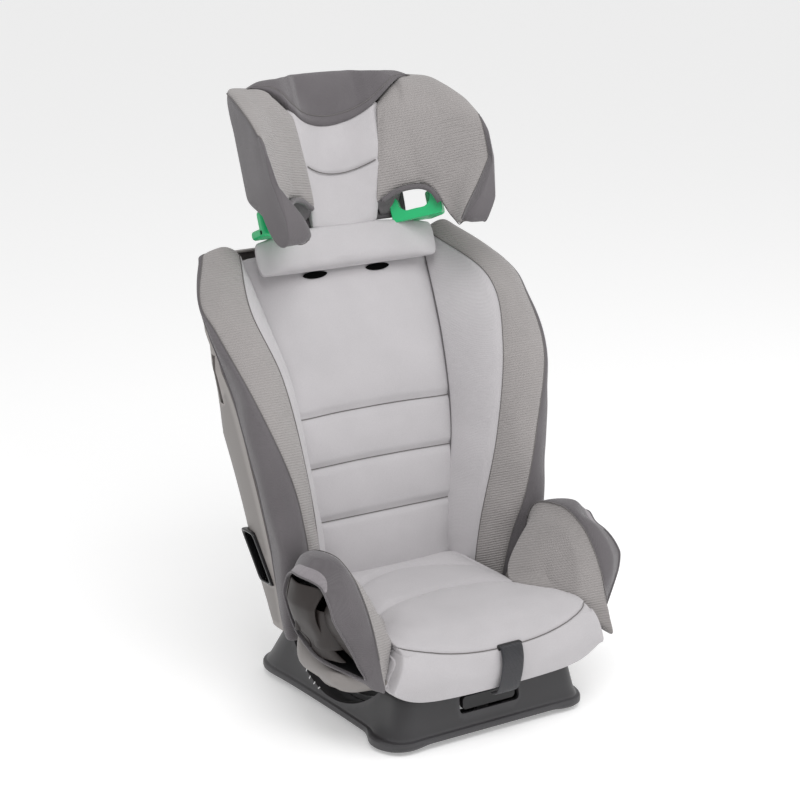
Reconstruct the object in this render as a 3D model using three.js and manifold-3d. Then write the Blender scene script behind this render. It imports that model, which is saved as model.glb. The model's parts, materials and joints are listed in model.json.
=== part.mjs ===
// Convertible child car seat: base, reclining seat, sliding headrest and stowed harness.
// Millimetres, +Z up. The child faces -Y and +X is the viewer's right when looking at the front.
// Every shape is laid out in the seat frame (Y = 0 above the middle of the base, floor at FLOOR_Z)
// and the whole group is then moved so that the origin lies on the floor under its middle.
import * as THREE from 'three';
import { mergeVertices } from 'three/addons/utils/BufferGeometryUtils.js';
import Module from 'manifold-3d';

const wasm = await Module();
wasm.setup();

// ---------------------------------------------------------------- driving dimensions
const GAP = 0.4; // air left between neighbouring pieces
const FRONT_TO_REAR_CENTRE = 37.85; // Y of the bounding box centre in the seat frame
const FLOOR_Z = 12;

// Recline: the seat rocks on circular tracks about an axis along X.
const ROCK_Y = -15;
const ROCK_Z = 190;
const SEAT_UNDERSIDE_R = 140;
const TRACK_R = 152;
const CHANNEL_R = 160;
const SADDLE_R = 155;
const TRACK_X = 106;
const TRACK_WIDTH = 12;

// Base
const BASE_HALF_WIDTH = 152;
const BASE_HALF_LENGTH = 188;
const BASE_WAIST = 17;
const LOBE_BOTTOM = 16;
const BASE_BOTTOM = 20;
const LIP_TOP = 30;
const TOWER_TOP = 88;
const BASE_WALL = 4;
const FOOT_X = 124;
const FOOT_Y = 158;
const FOOT_R = 29;
const LOBE_R = 38;
const SCREW_X = 80;
const SCREW_Y = 140;

// Cushion and apron
const CUSHION_TOP = 176;
const CUSHION_SEAT = 150;
const CUSHION_REAR = 56;
const APRON_FRONT = -224;
const APRON_BOTTOM = 86;
const CUSHION_HALF_REAR = 113;
const CUSHION_HALF_FRONT = 172;
const PAN_REAR = 60;
const STRAP_WIDTH = 33;

// Backrest: the headrest slides along a line that leans back from the vertical.
const LEAN = THREE.MathUtils.degToRad(21);
const SLIDE_Y = 174;
const SLIDE_Z = 577;
const BACK_PAD_THICKNESS = 18;
const SHELL_WALL = 5;
const SHELL_BOTTOM = 112;
const SHELL_TOP = 618;

// Headrest, in slide coordinates: x across, n out of the backrest, s up along the slide
const HEAD_TOP = 262;
const HEAD_BOTTOM = 60;
const HEAD_FRONT_N = 28;
const HEAD_CENTRE_HALF = 62;
const HEAD_SHELL_WALL = 4;
const STEM_FRONT = 28;
const STEM_REAR = 35;
const STEM_HALF = 60;

// Arms and cup holders
const ARM_TOP = 264;
const CUP_HINGE_X = 230;
const CUP_HINGE_Y = -75;
const CUP_X = 214;
const CUP_Y = -117;
const CUP_R = 34;
const CUP_BOTTOM = 143;
const CUP_TOP = 216;
const POCKET_X = 220;

// ---------------------------------------------------------------- materials
function plastic(colour, roughness = 0.5) {
  return new THREE.MeshStandardMaterial({ color: colour, roughness, metalness: 0 });
}

function fabric(colour) {
  return new THREE.MeshStandardMaterial({ color: colour, roughness: 0.95, metalness: 0 });
}

function steel() {
  return new THREE.MeshStandardMaterial({ color: 0x9a9c9f, roughness: 0.35, metalness: 0.9 });
}

const CHARCOAL = 0x3b3a3d;
const SHELL_GREY = 0x8d8986;
const LIGHT_GREY = 0xc4c0c2;
const MID_GREY = 0xa09b9a;
const DARK_GREY = 0x6c676a;
const GUIDE_GREEN = 0x0ab46e;
const CUP_BROWN = 0x3a3331;
const BLACK = 0x141415;
const WEBBING = 0x3c3c42;

// ---------------------------------------------------------------- geometry helpers
function toSolid(geometry) {
  const bare = geometry.clone();
  bare.deleteAttribute('normal');
  bare.deleteAttribute('uv');
  const merged = mergeVertices(bare, 1e-4);
  return new wasm.Manifold(new wasm.Mesh({
    numProp: 3,
    vertProperties: new Float32Array(merged.attributes.position.array),
    triVerts: new Uint32Array(merged.index.array),
  }));
}

function toGeometry(solid) {
  const mesh = solid.getMesh();
  const geometry = new THREE.BufferGeometry();
  geometry.setAttribute('position', new THREE.BufferAttribute(mesh.vertProperties, 3));
  geometry.setIndex(new THREE.BufferAttribute(mesh.triVerts, 1));
  geometry.computeVertexNormals();
  return geometry;
}

function cut(body, ...tools) {
  return toGeometry(tools.reduce((left, tool) => left.subtract(toSolid(tool)), toSolid(body)));
}

function join(first, ...others) {
  return toGeometry(others.reduce((sum, part) => sum.add(toSolid(part)), toSolid(first)));
}

function common(a, b) {
  return toGeometry(toSolid(a).intersect(toSolid(b)));
}

// Turns the faces of a geometry the other way round.
function flipped(geometry) {
  const out = geometry.index ? geometry.toNonIndexed() : geometry.clone();
  const p = out.attributes.position;
  const a = new THREE.Vector3();
  const b = new THREE.Vector3();
  for (let i = 0; i < p.count; i += 3) {
    a.fromBufferAttribute(p, i);
    b.fromBufferAttribute(p, i + 1);
    p.setXYZ(i, b.x, b.y, b.z);
    p.setXYZ(i + 1, a.x, a.y, a.z);
  }
  out.computeVertexNormals();
  return out;
}

function mirrored(geometry) {
  return flipped(geometry.clone().scale(-1, 1, 1));
}

function signedVolume(geometry) {
  const flat = geometry.index ? geometry.toNonIndexed() : geometry;
  const p = flat.attributes.position;
  const corner = [new THREE.Vector3(), new THREE.Vector3(), new THREE.Vector3()];
  let sum = 0;
  for (let i = 0; i < p.count; i += 3) {
    corner.forEach((v, k) => v.fromBufferAttribute(p, i + k));
    sum += corner[0].dot(corner[1].cross(corner[2]));
  }
  return sum / 6;
}

// Moves every vertex of a geometry with place(x, y, z) and keeps the faces pointing out.
function warped(geometry, place) {
  const out = geometry.clone();
  const p = out.attributes.position;
  for (let i = 0; i < p.count; i += 1) {
    const [x, y, z] = place(p.getX(i), p.getY(i), p.getZ(i));
    p.setXYZ(i, x, y, z);
  }
  out.computeVertexNormals();
  return signedVolume(out) < 0 ? flipped(out) : out;
}

function outline(points) {
  return new THREE.Shape(points.map(([x, y]) => new THREE.Vector2(x, y)));
}

// A smooth closed outline through the given points.
function smoothOutline(points, count) {
  const curve = new THREE.SplineCurve([...points, points[0]].map(([x, y]) => new THREE.Vector2(x, y)));
  return new THREE.Shape(curve.getSpacedPoints(count).slice(0, count));
}

function extruded(shape, depth, steps = 1) {
  return new THREE.ExtrudeGeometry(shape, { depth, steps, bevelEnabled: false, curveSegments: 4 });
}

// Extrudes a (y, z) side profile across X, from x0 to x1.
function acrossX(shape, x0, x1, steps = 1) {
  return warped(extruded(shape, x1 - x0, steps), (u, v, w) => [x0 + w, u, v]);
}

function box(x0, x1, y0, y1, z0, z1) {
  const geometry = new THREE.BoxGeometry(x1 - x0, y1 - y0, z1 - z0);
  return geometry.translate((x0 + x1) / 2, (y0 + y1) / 2, (z0 + z1) / 2);
}

function roundedBox(x0, x1, y0, y1, z0, z1, radius) {
  const w = x1 - x0;
  const h = z1 - z0;
  const shape = new THREE.Shape();
  shape.moveTo(radius, 0);
  shape.lineTo(w - radius, 0);
  shape.absarc(w - radius, radius, radius, -Math.PI / 2, 0);
  shape.lineTo(w, h - radius);
  shape.absarc(w - radius, h - radius, radius, 0, Math.PI / 2);
  shape.lineTo(radius, h);
  shape.absarc(radius, h - radius, radius, Math.PI / 2, Math.PI);
  shape.lineTo(0, radius);
  shape.absarc(radius, radius, radius, Math.PI, Math.PI * 1.5);
  return warped(extruded(shape, y1 - y0), (u, v, d) => [x0 + u, y0 + d, z0 + v]);
}

function cylinderZ(x, y, z0, z1, radius, sides = 32) {
  const geometry = new THREE.CylinderGeometry(radius, radius, z1 - z0, sides);
  return geometry.rotateX(Math.PI / 2).translate(x, y, (z0 + z1) / 2);
}

function cylinderX(y, z, x0, x1, radius, sides = 72) {
  const geometry = new THREE.CylinderGeometry(radius, radius, x1 - x0, sides);
  return geometry.rotateZ(Math.PI / 2).translate((x0 + x1) / 2, y, z);
}

// A body whose section at height t (0 to 1) is the list of corners sectionAt(t).
function loft(sectionAt, stations) {
  const sides = sectionAt(0).length;
  const ring = [...Array(sides).keys()].map((k) => {
    const angle = (2 * Math.PI * k) / sides;
    return [Math.cos(angle), Math.sin(angle)];
  });
  return warped(extruded(outline(ring), 1, stations), (u, v, t) => {
    const turn = Math.atan2(v, u) / (2 * Math.PI);
    const k = Math.round((turn < 0 ? turn + 1 : turn) * sides) % sides;
    return sectionAt(t)[k];
  });
}

// A bar that follows the recline circle between two radii, from one angle to another.
function rockArc(innerR, outerR, x0, x1, fromDeg, toDeg, segments = 16) {
  const points = [];
  const at = (r, k) => {
    const angle = THREE.MathUtils.degToRad(fromDeg + ((toDeg - fromDeg) * k) / segments);
    return [ROCK_Y + r * Math.cos(angle), ROCK_Z + r * Math.sin(angle)];
  };
  for (let k = 0; k <= segments; k += 1) points.push(at(outerR, k));
  for (let k = segments; k >= 0; k -= 1) points.push(at(innerR, k));
  return acrossX(outline(points), x0, x1);
}

const lerp = THREE.MathUtils.lerp;
const clamp = THREE.MathUtils.clamp;

// ---------------------------------------------------------------- shared curves
// Y of the back pad's front surface on the centre line.
function backY(z) {
  const rise = z - 252;
  return 68 + 0.215 * rise + 0.00035 * rise * rise;
}

// How far the front of the cushion, apron and pan curve back at distance x from the middle.
function frontCurve(x, y) {
  const bow = Math.min(30 * (x / 143) ** 2, 36);
  return y + bow * clamp((-90 - y) / 110, 0, 1);
}

function cushionHalf(y) {
  const t = clamp((-100 - y) / 100, 0, 1);
  return lerp(CUSHION_HALF_REAR, CUSHION_HALF_FRONT, t * t * (3 - 2 * t));
}

function curve(points) {
  return new THREE.CatmullRomCurve3(points.map((p) => new THREE.Vector3(...p)), false, 'catmullrom', 0.5);
}

// The five long edges of a side wing on the +X side, from the bottom up.
const PAD_EDGE = curve([[117, 58, 121], [117, 64, 220], [122, 84, 352], [129, 120, 462], [146, 196, 588]]);
const INNER_SEAM = curve([[124, 36, 121], [132, 30, 220], [155, 24, 345], [178, 43, 471], [195, 96, 556],
  [166, 192, 606]]);
const OUTER_SEAM = curve([[150, 6, 121], [164, 0, 200], [180, -14, 270], [200, -10, 355], [235, 22, 458],
  [250, 92, 534], [196, 217, 612]]);
const BULGE = curve([[196, 8, 121], [206, 2, 190], [212, 6, 262], [224, 26, 355], [245, 54, 465], [252, 118, 542],
  [203, 221, 610]]);
const REAR_EDGE = curve([[172, 60, 121], [188, 62, 205], [210, 68, 335], [242, 80, 462], [246, 140, 540],
  [200, 222, 600]]);

// Half-width and rear face of the back shell at height z.
function shellHalf(z) {
  const t = clamp((z - 110) / 370, 0, 1);
  const body = lerp(160, 246, t ** 1.15);
  const shoulder = clamp((z - 530) / 85, 0, 1);
  return body - 62 * shoulder ** 2.2;
}

function shellRear(z) {
  return backY(z) + lerp(100, 62, clamp((z - 200) / 380, 0, 1)) - 30 * clamp((200 - z) / 90, 0, 1) ** 1.5;
}

// ---------------------------------------------------------------- base
function basePlan(grow) {
  const w = BASE_HALF_WIDTH + grow;
  const l = BASE_HALF_LENGTH + grow;
  const corner = 26;
  const shape = new THREE.Shape();
  shape.moveTo(-w + corner, -l);
  shape.lineTo(w - corner, -l);
  shape.quadraticCurveTo(w, -l, w, -l + corner);
  shape.bezierCurveTo(w - 4, -l * 0.55, w - BASE_WAIST, -l * 0.5, w - BASE_WAIST, 0);
  shape.bezierCurveTo(w - BASE_WAIST, l * 0.5, w - 4, l * 0.55, w, l - corner);
  shape.quadraticCurveTo(w, l, w - corner, l);
  shape.lineTo(-w + corner, l);
  shape.quadraticCurveTo(-w, l, -w, l - corner);
  shape.bezierCurveTo(-w + 4, l * 0.55, -w + BASE_WAIST, l * 0.5, -w + BASE_WAIST, 0);
  shape.bezierCurveTo(-w + BASE_WAIST, -l * 0.5, -w + 4, -l * 0.55, -w, -l + corner);
  shape.quadraticCurveTo(-w, -l, -w + corner, -l);
  return shape;
}

// The base block leans inwards as it rises; the front and rear ends lean the most.
function baseBlock(grow, bottom, top) {
  return warped(extruded(basePlan(grow), top - bottom, 4), (x, y, h) => {
    const rise = clamp((bottom + h - LIP_TOP) / (TOWER_TOP - LIP_TOP), 0, 1);
    return [x * (1 - 0.09 * rise), y * (1 - (y > 0 ? 0.2 : 0.04) * rise), bottom + h];
  });
}

// The four round lobes that carry the feet.
function footLobes(bottom, top) {
  const lobes = [-1, 1].flatMap((side) => [-1, 1].map((end) => (
    cylinderZ(side * FOOT_X, end * FOOT_Y, bottom, top, LOBE_R)
  )));
  return join(...lobes);
}

function baseShell() {
  const lip = extruded(basePlan(2), LIP_TOP - BASE_BOTTOM).translate(0, 0, BASE_BOTTOM);
  const block = join(baseBlock(-2, BASE_BOTTOM, TOWER_TOP), lip, footLobes(LOBE_BOTTOM, LIP_TOP - 3));
  const saddle = cylinderX(ROCK_Y, ROCK_Z, -200, 200, SADDLE_R);
  const channel = cylinderX(ROCK_Y, ROCK_Z, -130, 130, CHANNEL_R);
  const openTop = box(-124, 124, -150, 300, 66, 200);
  const hollow = cut(
    baseBlock(-2 - BASE_WALL, 0, TOWER_TOP - BASE_WALL),
    cylinderX(ROCK_Y, ROCK_Z, -210, 210, CHANNEL_R + BASE_WALL),
    box(-130, 130, -140, 300, 60, 200),
  );
  const handleOpening = roundedBox(-50, 46, -210, -160, 48, 74, 6);
  const boltSlot = box(-20, 20, -120, 8, 0, 60);
  const shell = cut(block, saddle, channel, openTop, hollow, handleOpening, boltSlot);
  return join(shell, footLobes(LOBE_BOTTOM, BASE_BOTTOM + 0.6));
}

function basePlate() {
  const plate = warped(extruded(basePlan(-12), 2.5), (x, y, h) => [x * 0.97, y * 0.97, BASE_BOTTOM + 1 + h]);
  return cut(plate, box(-20, 20, -122, 10, 0, 40));
}

function foot(x, y) {
  return cylinderZ(x, y, FLOOR_Z, LOBE_BOTTOM - GAP, FOOT_R, 36);
}

function track() {
  const edge = TRACK_X - TRACK_WIDTH / 2;
  return rockArc(TRACK_R, CHANNEL_R - GAP, edge, edge + TRACK_WIDTH, -134, -52);
}

function plateScrew(x, y) {
  return cylinderZ(x, y, BASE_BOTTOM - 1.8, BASE_BOTTOM + 1 - GAP, 4.5, 16);
}

function reclineHandle() {
  const paddle = roundedBox(-44, 40, -181, -174, 52, 70, 5);
  const neck = box(-9, 9, -175, -158, 52, 60);
  const arm = box(-9, 9, -164, -158, 30, 60);
  const link = box(-9, 9, -160, -26, 30, 34);
  return join(paddle, neck, arm, link);
}

function reclineBolt() {
  const top = ROCK_Z - SEAT_UNDERSIDE_R - 8.3;
  return join(roundedBox(-11, 11, -21, -9, 24, top, 2), box(-16, 16, -23, -7, 20, 27));
}

// ---------------------------------------------------------------- seat pan, cushion and runners
// Half-width of the pan: it flares up to the arms and tapers in behind them.
function panHalf(y, z) {
  const flare = clamp((z - 62) / 54, 0, 1);
  const taper = clamp((y + 20) / 60, 0, 1);
  const rim = lerp(238, 158, taper * taper * (3 - 2 * taper));
  return lerp(144, rim, Math.sin((flare * Math.PI) / 2) ** 1.4);
}

// Side profile of the pan: a circular underside that rises to the apron and to the backrest.
function panProfile(top, wall) {
  const r = SEAT_UNDERSIDE_R - wall;
  const points = [[-201 + wall, top], [-201 + wall, 106 + wall], [-150, 92 + wall]];
  for (let k = 0; k <= 16; k += 1) {
    const angle = THREE.MathUtils.degToRad(-126 + k * 5.3);
    points.push([ROCK_Y + r * Math.cos(angle), ROCK_Z + r * Math.sin(angle)]);
  }
  points.push([PAN_REAR - wall, 104 + wall], [PAN_REAR - wall, top]);
  return outline(points);
}

function panBody(profile, halfAt) {
  return warped(acrossX(profile, -1, 1, 12), (u, y, z) => {
    const x = u * halfAt(y, z);
    return [x, frontCurve(x, y), z];
  });
}

function seatShell() {
  const bowl = panBody(panProfile(117, 0), panHalf);
  const deck = [[-200, 112], [PAN_REAR, 112], [PAN_REAR, CUSHION_SEAT - 2.5], [-200, CUSHION_SEAT - 2.5]];
  const platform = panBody(outline(deck), () => 108);
  const hollow = panBody(panProfile(200, SHELL_WALL), (y, z) => Math.min(panHalf(y, z) - SHELL_WALL, 102));
  const strapSlot = box(-22, 22, -230, -150, 128, 160);
  return cut(join(bowl, platform), hollow, strapSlot);
}

// An upright prism with the cushion's plan: narrow between the arms, wide at the apron.
function cushionPrism(grow, bottom, top) {
  const stops = [...Array(17).keys()].map((k) => -260 + 20 * k);
  const edge = stops.map((y) => {
    const x = cushionHalf(y) + grow;
    return [x, frontCurve(x, y)];
  });
  const otherEdge = edge.map(([x, y]) => [-x, y]).reverse();
  return extruded(outline([...edge, ...otherEdge]), top - bottom).translate(0, 0, bottom);
}

function seatCushion() {
  const profile = smoothOutline([
    [CUSHION_REAR, CUSHION_TOP - 6], [0, CUSHION_TOP - 4], [-100, CUSHION_TOP], [-185, CUSHION_TOP - 2],
    [-212, 167], [APRON_FRONT, 144], [APRON_FRONT + 2, 112], [-214, APRON_BOTTOM + 1], [-205, APRON_BOTTOM + 8],
    [-204, 120], [-203, CUSHION_SEAT], [-120, CUSHION_SEAT], [-20, CUSHION_SEAT], [CUSHION_REAR, CUSHION_SEAT],
  ], 36);
  const slab = warped(acrossX(profile, -CUSHION_HALF_FRONT - 4, CUSHION_HALF_FRONT + 4, 12), (x, y, z) => (
    [x, frontCurve(x, y), z]
  ));
  return common(slab, cushionPrism(0, 60, 200));
}

function runner() {
  const edge = TRACK_X - TRACK_WIDTH / 2;
  return rockArc(SEAT_UNDERSIDE_R + GAP, TRACK_R - GAP, edge, edge + TRACK_WIDTH, -124, -50);
}

// Four notches on the underside of the rack give the recline positions.
function reclineRack() {
  const bar = rockArc(SEAT_UNDERSIDE_R + GAP, SEAT_UNDERSIDE_R + 7, -12, 12, -112, -74);
  const notches = [0, 1, 2, 3].map((k) => {
    const angle = THREE.MathUtils.degToRad(-90 - 4 * k);
    const y = ROCK_Y + (SEAT_UNDERSIDE_R + 6) * Math.cos(angle);
    const z = ROCK_Z + (SEAT_UNDERSIDE_R + 6) * Math.sin(angle);
    return box(-13, 13, y - 3, y + 3, z - 4, z + 2);
  });
  return cut(bar, ...notches);
}

// ---------------------------------------------------------------- backrest
function shellBlock(wall, front, bottom, top) {
  return loft((t) => {
    const z = lerp(bottom, top, t);
    const half = shellHalf(z) - wall;
    const rear = shellRear(z) - wall;
    const rim = REAR_EDGE.getPoint(clamp((z - 121) / 479, 0, 1)).y + front;
    const side = Math.max(half, 40);
    const ring = [[side, rim], [side - 2, lerp(rim, rear, 0.4)], [side - 18, lerp(rim, rear, 0.75)],
      [side * 0.72, rear - 4], [side * 0.4, rear]];
    const back = ring.map(([x, y]) => [-x, y]).reverse();
    return [...ring, ...back].map(([x, y]) => [x, y, z]);
  }, 14);
}

function backShell() {
  const outer = shellBlock(0, 0, SHELL_BOTTOM, SHELL_TOP);
  const inner = shellBlock(SHELL_WALL, -140, SHELL_BOTTOM + SHELL_WALL, SHELL_TOP - 6);
  const beltWindow = box(-300, 300, 84, 116, 188, 244);
  const beltHook = box(-300, 300, 104, 116, 432, 500);
  const stemSlot = box(-76, 76, 150, 244, 590, 640);
  return cut(outer, inner, beltWindow, beltHook, stemSlot);
}

function beltFrame() {
  const x = shellHalf(216) - 3;
  return cut(box(x - 8, x + 8, 84.5, 115.5, 188.5, 243.5), box(x - 20, x + 20, 90, 110, 195, 237));
}

function backPad() {
  return loft((t) => {
    const z = lerp(184, 600, t);
    const front = backY(z) + 2;
    const half = PAD_EDGE.getPoint(clamp((z - 121) / 467, 0, 1)).x - 2;
    return [[half, front + 2, z], [half, front + BACK_PAD_THICKNESS, z],
      [-half, front + BACK_PAD_THICKNESS, z], [-half, front + 2, z],
      [-half + 10, front, z], [half - 10, front, z]];
  }, 14);
}

function sideWing() {
  const body = loft((t) => {
    const p = PAD_EDGE.getPoint(t);
    const a = INNER_SEAM.getPoint(t);
    const b = OUTER_SEAM.getPoint(t);
    const r = REAR_EDGE.getPoint(t);
    const front = a.clone().lerp(b, 0.5).add(new THREE.Vector3(0, -4, 2));
    const inside = new THREE.Vector3(p.x + 6, p.y + 22, p.z - 4);
    return [p, a, front, b, BULGE.getPoint(t), r, inside].map((v) => [v.x, v.y, v.z]);
  }, 14);
  return cut(body, shellBlock(-2 * GAP, -2 * GAP, SHELL_BOTTOM, SHELL_TOP));
}

// A channel that holds one edge of the headrest stem.
function headrestGuide() {
  const edge = STEM_HALF + GAP;
  const channel = box(edge - 8, edge + 6, STEM_FRONT - 2, STEM_REAR + 2, -110, 12);
  return cut(channel, box(0, edge, STEM_FRONT - GAP, STEM_REAR + GAP, -120, 20));
}

function headrestRack() {
  const bar = box(-9, 9, 48, 54, -250, 0);
  const notch = (k) => box(-10, 10, 40, 51, -240 + 22 * k, -233 + 22 * k);
  return cut(bar, ...[...Array(10).keys()].map(notch));
}

// ---------------------------------------------------------------- harness
function adjusterStrap() {
  const path = [[-221.5, 155], [-226, 146], [-227.4, 128], [-226, 108], [-219.5, 85], [-206, 80.5],
    [-205, 78.5], [-221.5, 83.5], [-228, 108], [-229.4, 128], [-228, 146], [-223, 157]];
  return acrossX(outline(path), -STRAP_WIDTH / 2, STRAP_WIDTH / 2);
}

function adjusterHousing() {
  return cut(roundedBox(-19, 19, -196, -160, 130, 148, 3), box(-12, 12, -200, -165, 136, 160));
}

function adjusterLever() {
  return join(box(-10, 10, -194, -170, 141, 144), cylinderX(-172, 142, -11, 11, 3, 20));
}

function buckleBody() {
  return cut(roundedBox(-26, 26, -96, -36, 120, 142, 8), box(-14, 14, -100, -70, 126, 136));
}

function buckleButton() {
  return roundedBox(-13, 13, -99, -76, 127, 135, 3);
}

function crotchStrap() {
  return box(-19, 19, -35, 20, 130, 132.5);
}

function splitterPlate() {
  return cut(roundedBox(-32, 32, 96, 99, 126, 156, 8), box(-20, 20, 90, 110, 146, 150));
}

function shoulderStrap() {
  return box(32, 70, 38.5, 40, -240, -8);
}

// ---------------------------------------------------------------- arms and cup holders
const ARM_PROFILE = [[-204, 122], [-199, 142], [-192, 168], [-180, 196], [-162, 224], [-136, 250], [-100, ARM_TOP],
  [-68, 260], [-42, 244], [-22, 218], [-9, 188], [-8, 160], [-16, 138], [-50, 124], [-130, 121]];

function armOuter(z) {
  const bend = z > 170 ? 0.0034 : 0.0018;
  return 257 - bend * (z - 170) ** 2;
}

function armInner(y, z) {
  const low = cushionHalf(frontUncurved(y)) + 3;
  const rise = clamp((z - CUSHION_TOP) / (ARM_TOP - CUSHION_TOP), 0, 1);
  return lerp(low, 186, rise ** 0.8);
}

// The cushion edge curves back at the front, so the arm reads its width a little further forward.
function frontUncurved(y) {
  return y - 34 * clamp((-90 - y) / 110, 0, 1);
}

// The room the cup holder sweeps as it swings out about its hinge.
function cupCavity(clearance) {
  const cavityAt = (degrees) => {
    const angle = THREE.MathUtils.degToRad(degrees);
    const dx = CUP_X - CUP_HINGE_X;
    const dy = CUP_Y - CUP_HINGE_Y;
    const x = CUP_HINGE_X + dx * Math.cos(angle) - dy * Math.sin(angle);
    const y = CUP_HINGE_Y + dx * Math.sin(angle) + dy * Math.cos(angle);
    return cylinderZ(x, y, CUP_BOTTOM - clearance, CUP_TOP + clearance, CUP_R + clearance, 24);
  };
  return join(...[0, 14, 28, 42, 56].map(cavityAt));
}

// D-shaped pocket outline on the outer side of the arm, pulled in from the arm's own outline.
function pocketOutline(inset) {
  const centre = [-112, 184];
  const points = ARM_PROFILE.map(([y, z]) => {
    const dy = y - centre[0];
    const dz = z - centre[1];
    const shrink = 1 - inset / Math.hypot(dy, dz);
    return [centre[0] + dy * shrink, centre[1] + dz * shrink];
  });
  return smoothOutline(points, 32);
}

function arm() {
  const pad = warped(acrossX(smoothOutline(ARM_PROFILE, 36), 0, 1, 4), (t, y, z) => [
    lerp(armInner(y, z), armOuter(z), t), y, z,
  ]);
  return cut(pad, cushionPrism(2.5, 60, CUSHION_TOP + 1), acrossX(pocketOutline(14), POCKET_X, 300), cupCavity(4));
}

function cupPocket() {
  const lining = cut(
    acrossX(pocketOutline(14 + GAP), POCKET_X + GAP, 244),
    acrossX(pocketOutline(17), POCKET_X + 3, 300),
    cupCavity(2.5),
  );
  const ear = (z) => box(POCKET_X + 2, CUP_HINGE_X + 7, CUP_HINGE_Y - 7, CUP_HINGE_Y + 7, z, z + 4);
  return cut(join(lining, ear(CUP_BOTTOM - 3), ear(CUP_TOP + 2)), pinBore());
}

function pinBore() {
  return cylinderZ(CUP_HINGE_X, CUP_HINGE_Y, 100, 260, 2.8, 16);
}

function cupHolder() {
  const wall = new THREE.LatheGeometry([
    [0, CUP_BOTTOM], [CUP_R, CUP_BOTTOM], [CUP_R, CUP_TOP], [CUP_R - 3, CUP_TOP],
    [CUP_R - 3, CUP_BOTTOM + 3], [0, CUP_BOTTOM + 3],
  ].map(([r, z]) => new THREE.Vector2(r, z)), 24).rotateX(Math.PI / 2).translate(CUP_X, CUP_Y, 0);
  const bow = (y) => 4 * Math.cos(((y - CUP_Y) / 90) * Math.PI);
  const panel = warped(
    roundedBox(CUP_Y - 29, CUP_HINGE_Y + 2, 0, 3, CUP_BOTTOM + 5, CUP_TOP - 8, 12),
    (y, d, z) => [CUP_HINGE_X + 7 + d + bow(y), y, z],
  );
  const barrel = cylinderZ(CUP_HINGE_X, CUP_HINGE_Y, CUP_BOTTOM + 2, CUP_TOP + 1, 5.5, 20);
  const web = box(CUP_HINGE_X - 3, CUP_HINGE_X + 9, CUP_HINGE_Y - 12, CUP_HINGE_Y - 3, CUP_BOTTOM + 6, CUP_TOP - 10);
  const bore = cylinderZ(CUP_X, CUP_Y, CUP_BOTTOM + 3.1, 260, CUP_R - 3, 24);
  return cut(join(wall, panel, barrel, web), pinBore(), bore);
}

function cupPin() {
  return cylinderZ(CUP_HINGE_X, CUP_HINGE_Y, CUP_BOTTOM - 3, CUP_TOP + 6, 2.5, 16);
}

// ---------------------------------------------------------------- headrest, in slide coordinates (x, -n, s)
const HEAD_SIDE = [[-30, HEAD_TOP - 6], [0, HEAD_TOP], [36, HEAD_TOP - 3], [70, 246], [114, 212], [138, 180],
  [154, 138], [157, 105], [152, 66], [130, 37], [98, 21], [80, 34], [75, 58], [73, 80], [62, 92], [42, 94],
  [22, 84], [8, HEAD_BOTTOM], [-30, HEAD_BOTTOM]];

// Plan of the +X half of the headrest: outer face, then the padded inner face.
const HEAD_OUTER = [[0, 3], [104, 3], [136, 14], [160, 48], [176, 96], [181, 142]];
const HEAD_INNER = [[174, 150], [163, 108], [126, 62], [92, 36], [HEAD_CENTRE_HALF, HEAD_FRONT_N]];

function planBlock(points, s0, s1) {
  return warped(extruded(outline(points), s1 - s0), (x, n, s) => [x, -n, s0 + s]);
}

function sideMask() {
  const points = smoothOutline(HEAD_SIDE, 60).getPoints();
  return acrossX(outline(points.map((p) => [-p.x, p.y])), -260, 260);
}

function headrestShell() {
  const wall = HEAD_SHELL_WALL;
  const inside = HEAD_OUTER.map(([x, n]) => [x === 0 ? 0 : x - wall * 0.9, n + wall * 0.7]);
  const half = [...HEAD_OUTER, ...inside.reverse()];
  const right = common(planBlock(half, 0, 300), sideMask());
  const crown = roundedBox(-74, 74, -4, STEM_FRONT + 6, HEAD_TOP - 52, HEAD_TOP - 6, 14);
  const stemSlot = box(-STEM_HALF - 1, STEM_HALF + 1, STEM_FRONT - GAP, 60, 180, 300);
  return cut(join(right, mirrored(right), crown), stemSlot);
}

function headrestStem() {
  const plate = roundedBox(-STEM_HALF, STEM_HALF, STEM_FRONT, STEM_REAR, -90, HEAD_TOP - 8, 8);
  const window = (k) => roundedBox(-34, 34, 15, 50, -56 + 66 * k, -16 + 66 * k, 8);
  const pinHole = box(-10, 10, 15, 50, -84, -66);
  return cut(plate, window(0), window(1), window(2), window(3), pinHole);
}

function headrestPad() {
  const half = HEAD_CENTRE_HALF - 1;
  return roundedBox(-half, half, -HEAD_FRONT_N, -8, HEAD_BOTTOM + 1, HEAD_TOP - 1, 12);
}

function headrestWing() {
  const outerFace = HEAD_OUTER.slice(1).map(([x, n]) => [x - HEAD_SHELL_WALL - 1.4, n + HEAD_SHELL_WALL + 1]);
  const start = [[HEAD_CENTRE_HALF, 8]];
  return common(planBlock([...start, ...outerFace, ...HEAD_INNER], 0, 300), sideMask());
}

function neckPad() {
  const section = outline([[-24, 2], [-20, -2], [-3, -2], [-3, 48], [-20, 48], [-24, 44]]);
  return warped(acrossX(section, -1, 1, 8), (u, y, s) => {
    const half = lerp(122, 134, clamp((-y - 3) / 20, 0, 1));
    return [u * half, y, s];
  });
}

function harnessGuide() {
  const plate = roundedBox(-74, 74, -2.6, -1, -12, 40, 6);
  const slot = (x) => box(x - 17, x + 17, -6, 0, -9, -4);
  return cut(plate, slot(-51), slot(51));
}

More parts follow.
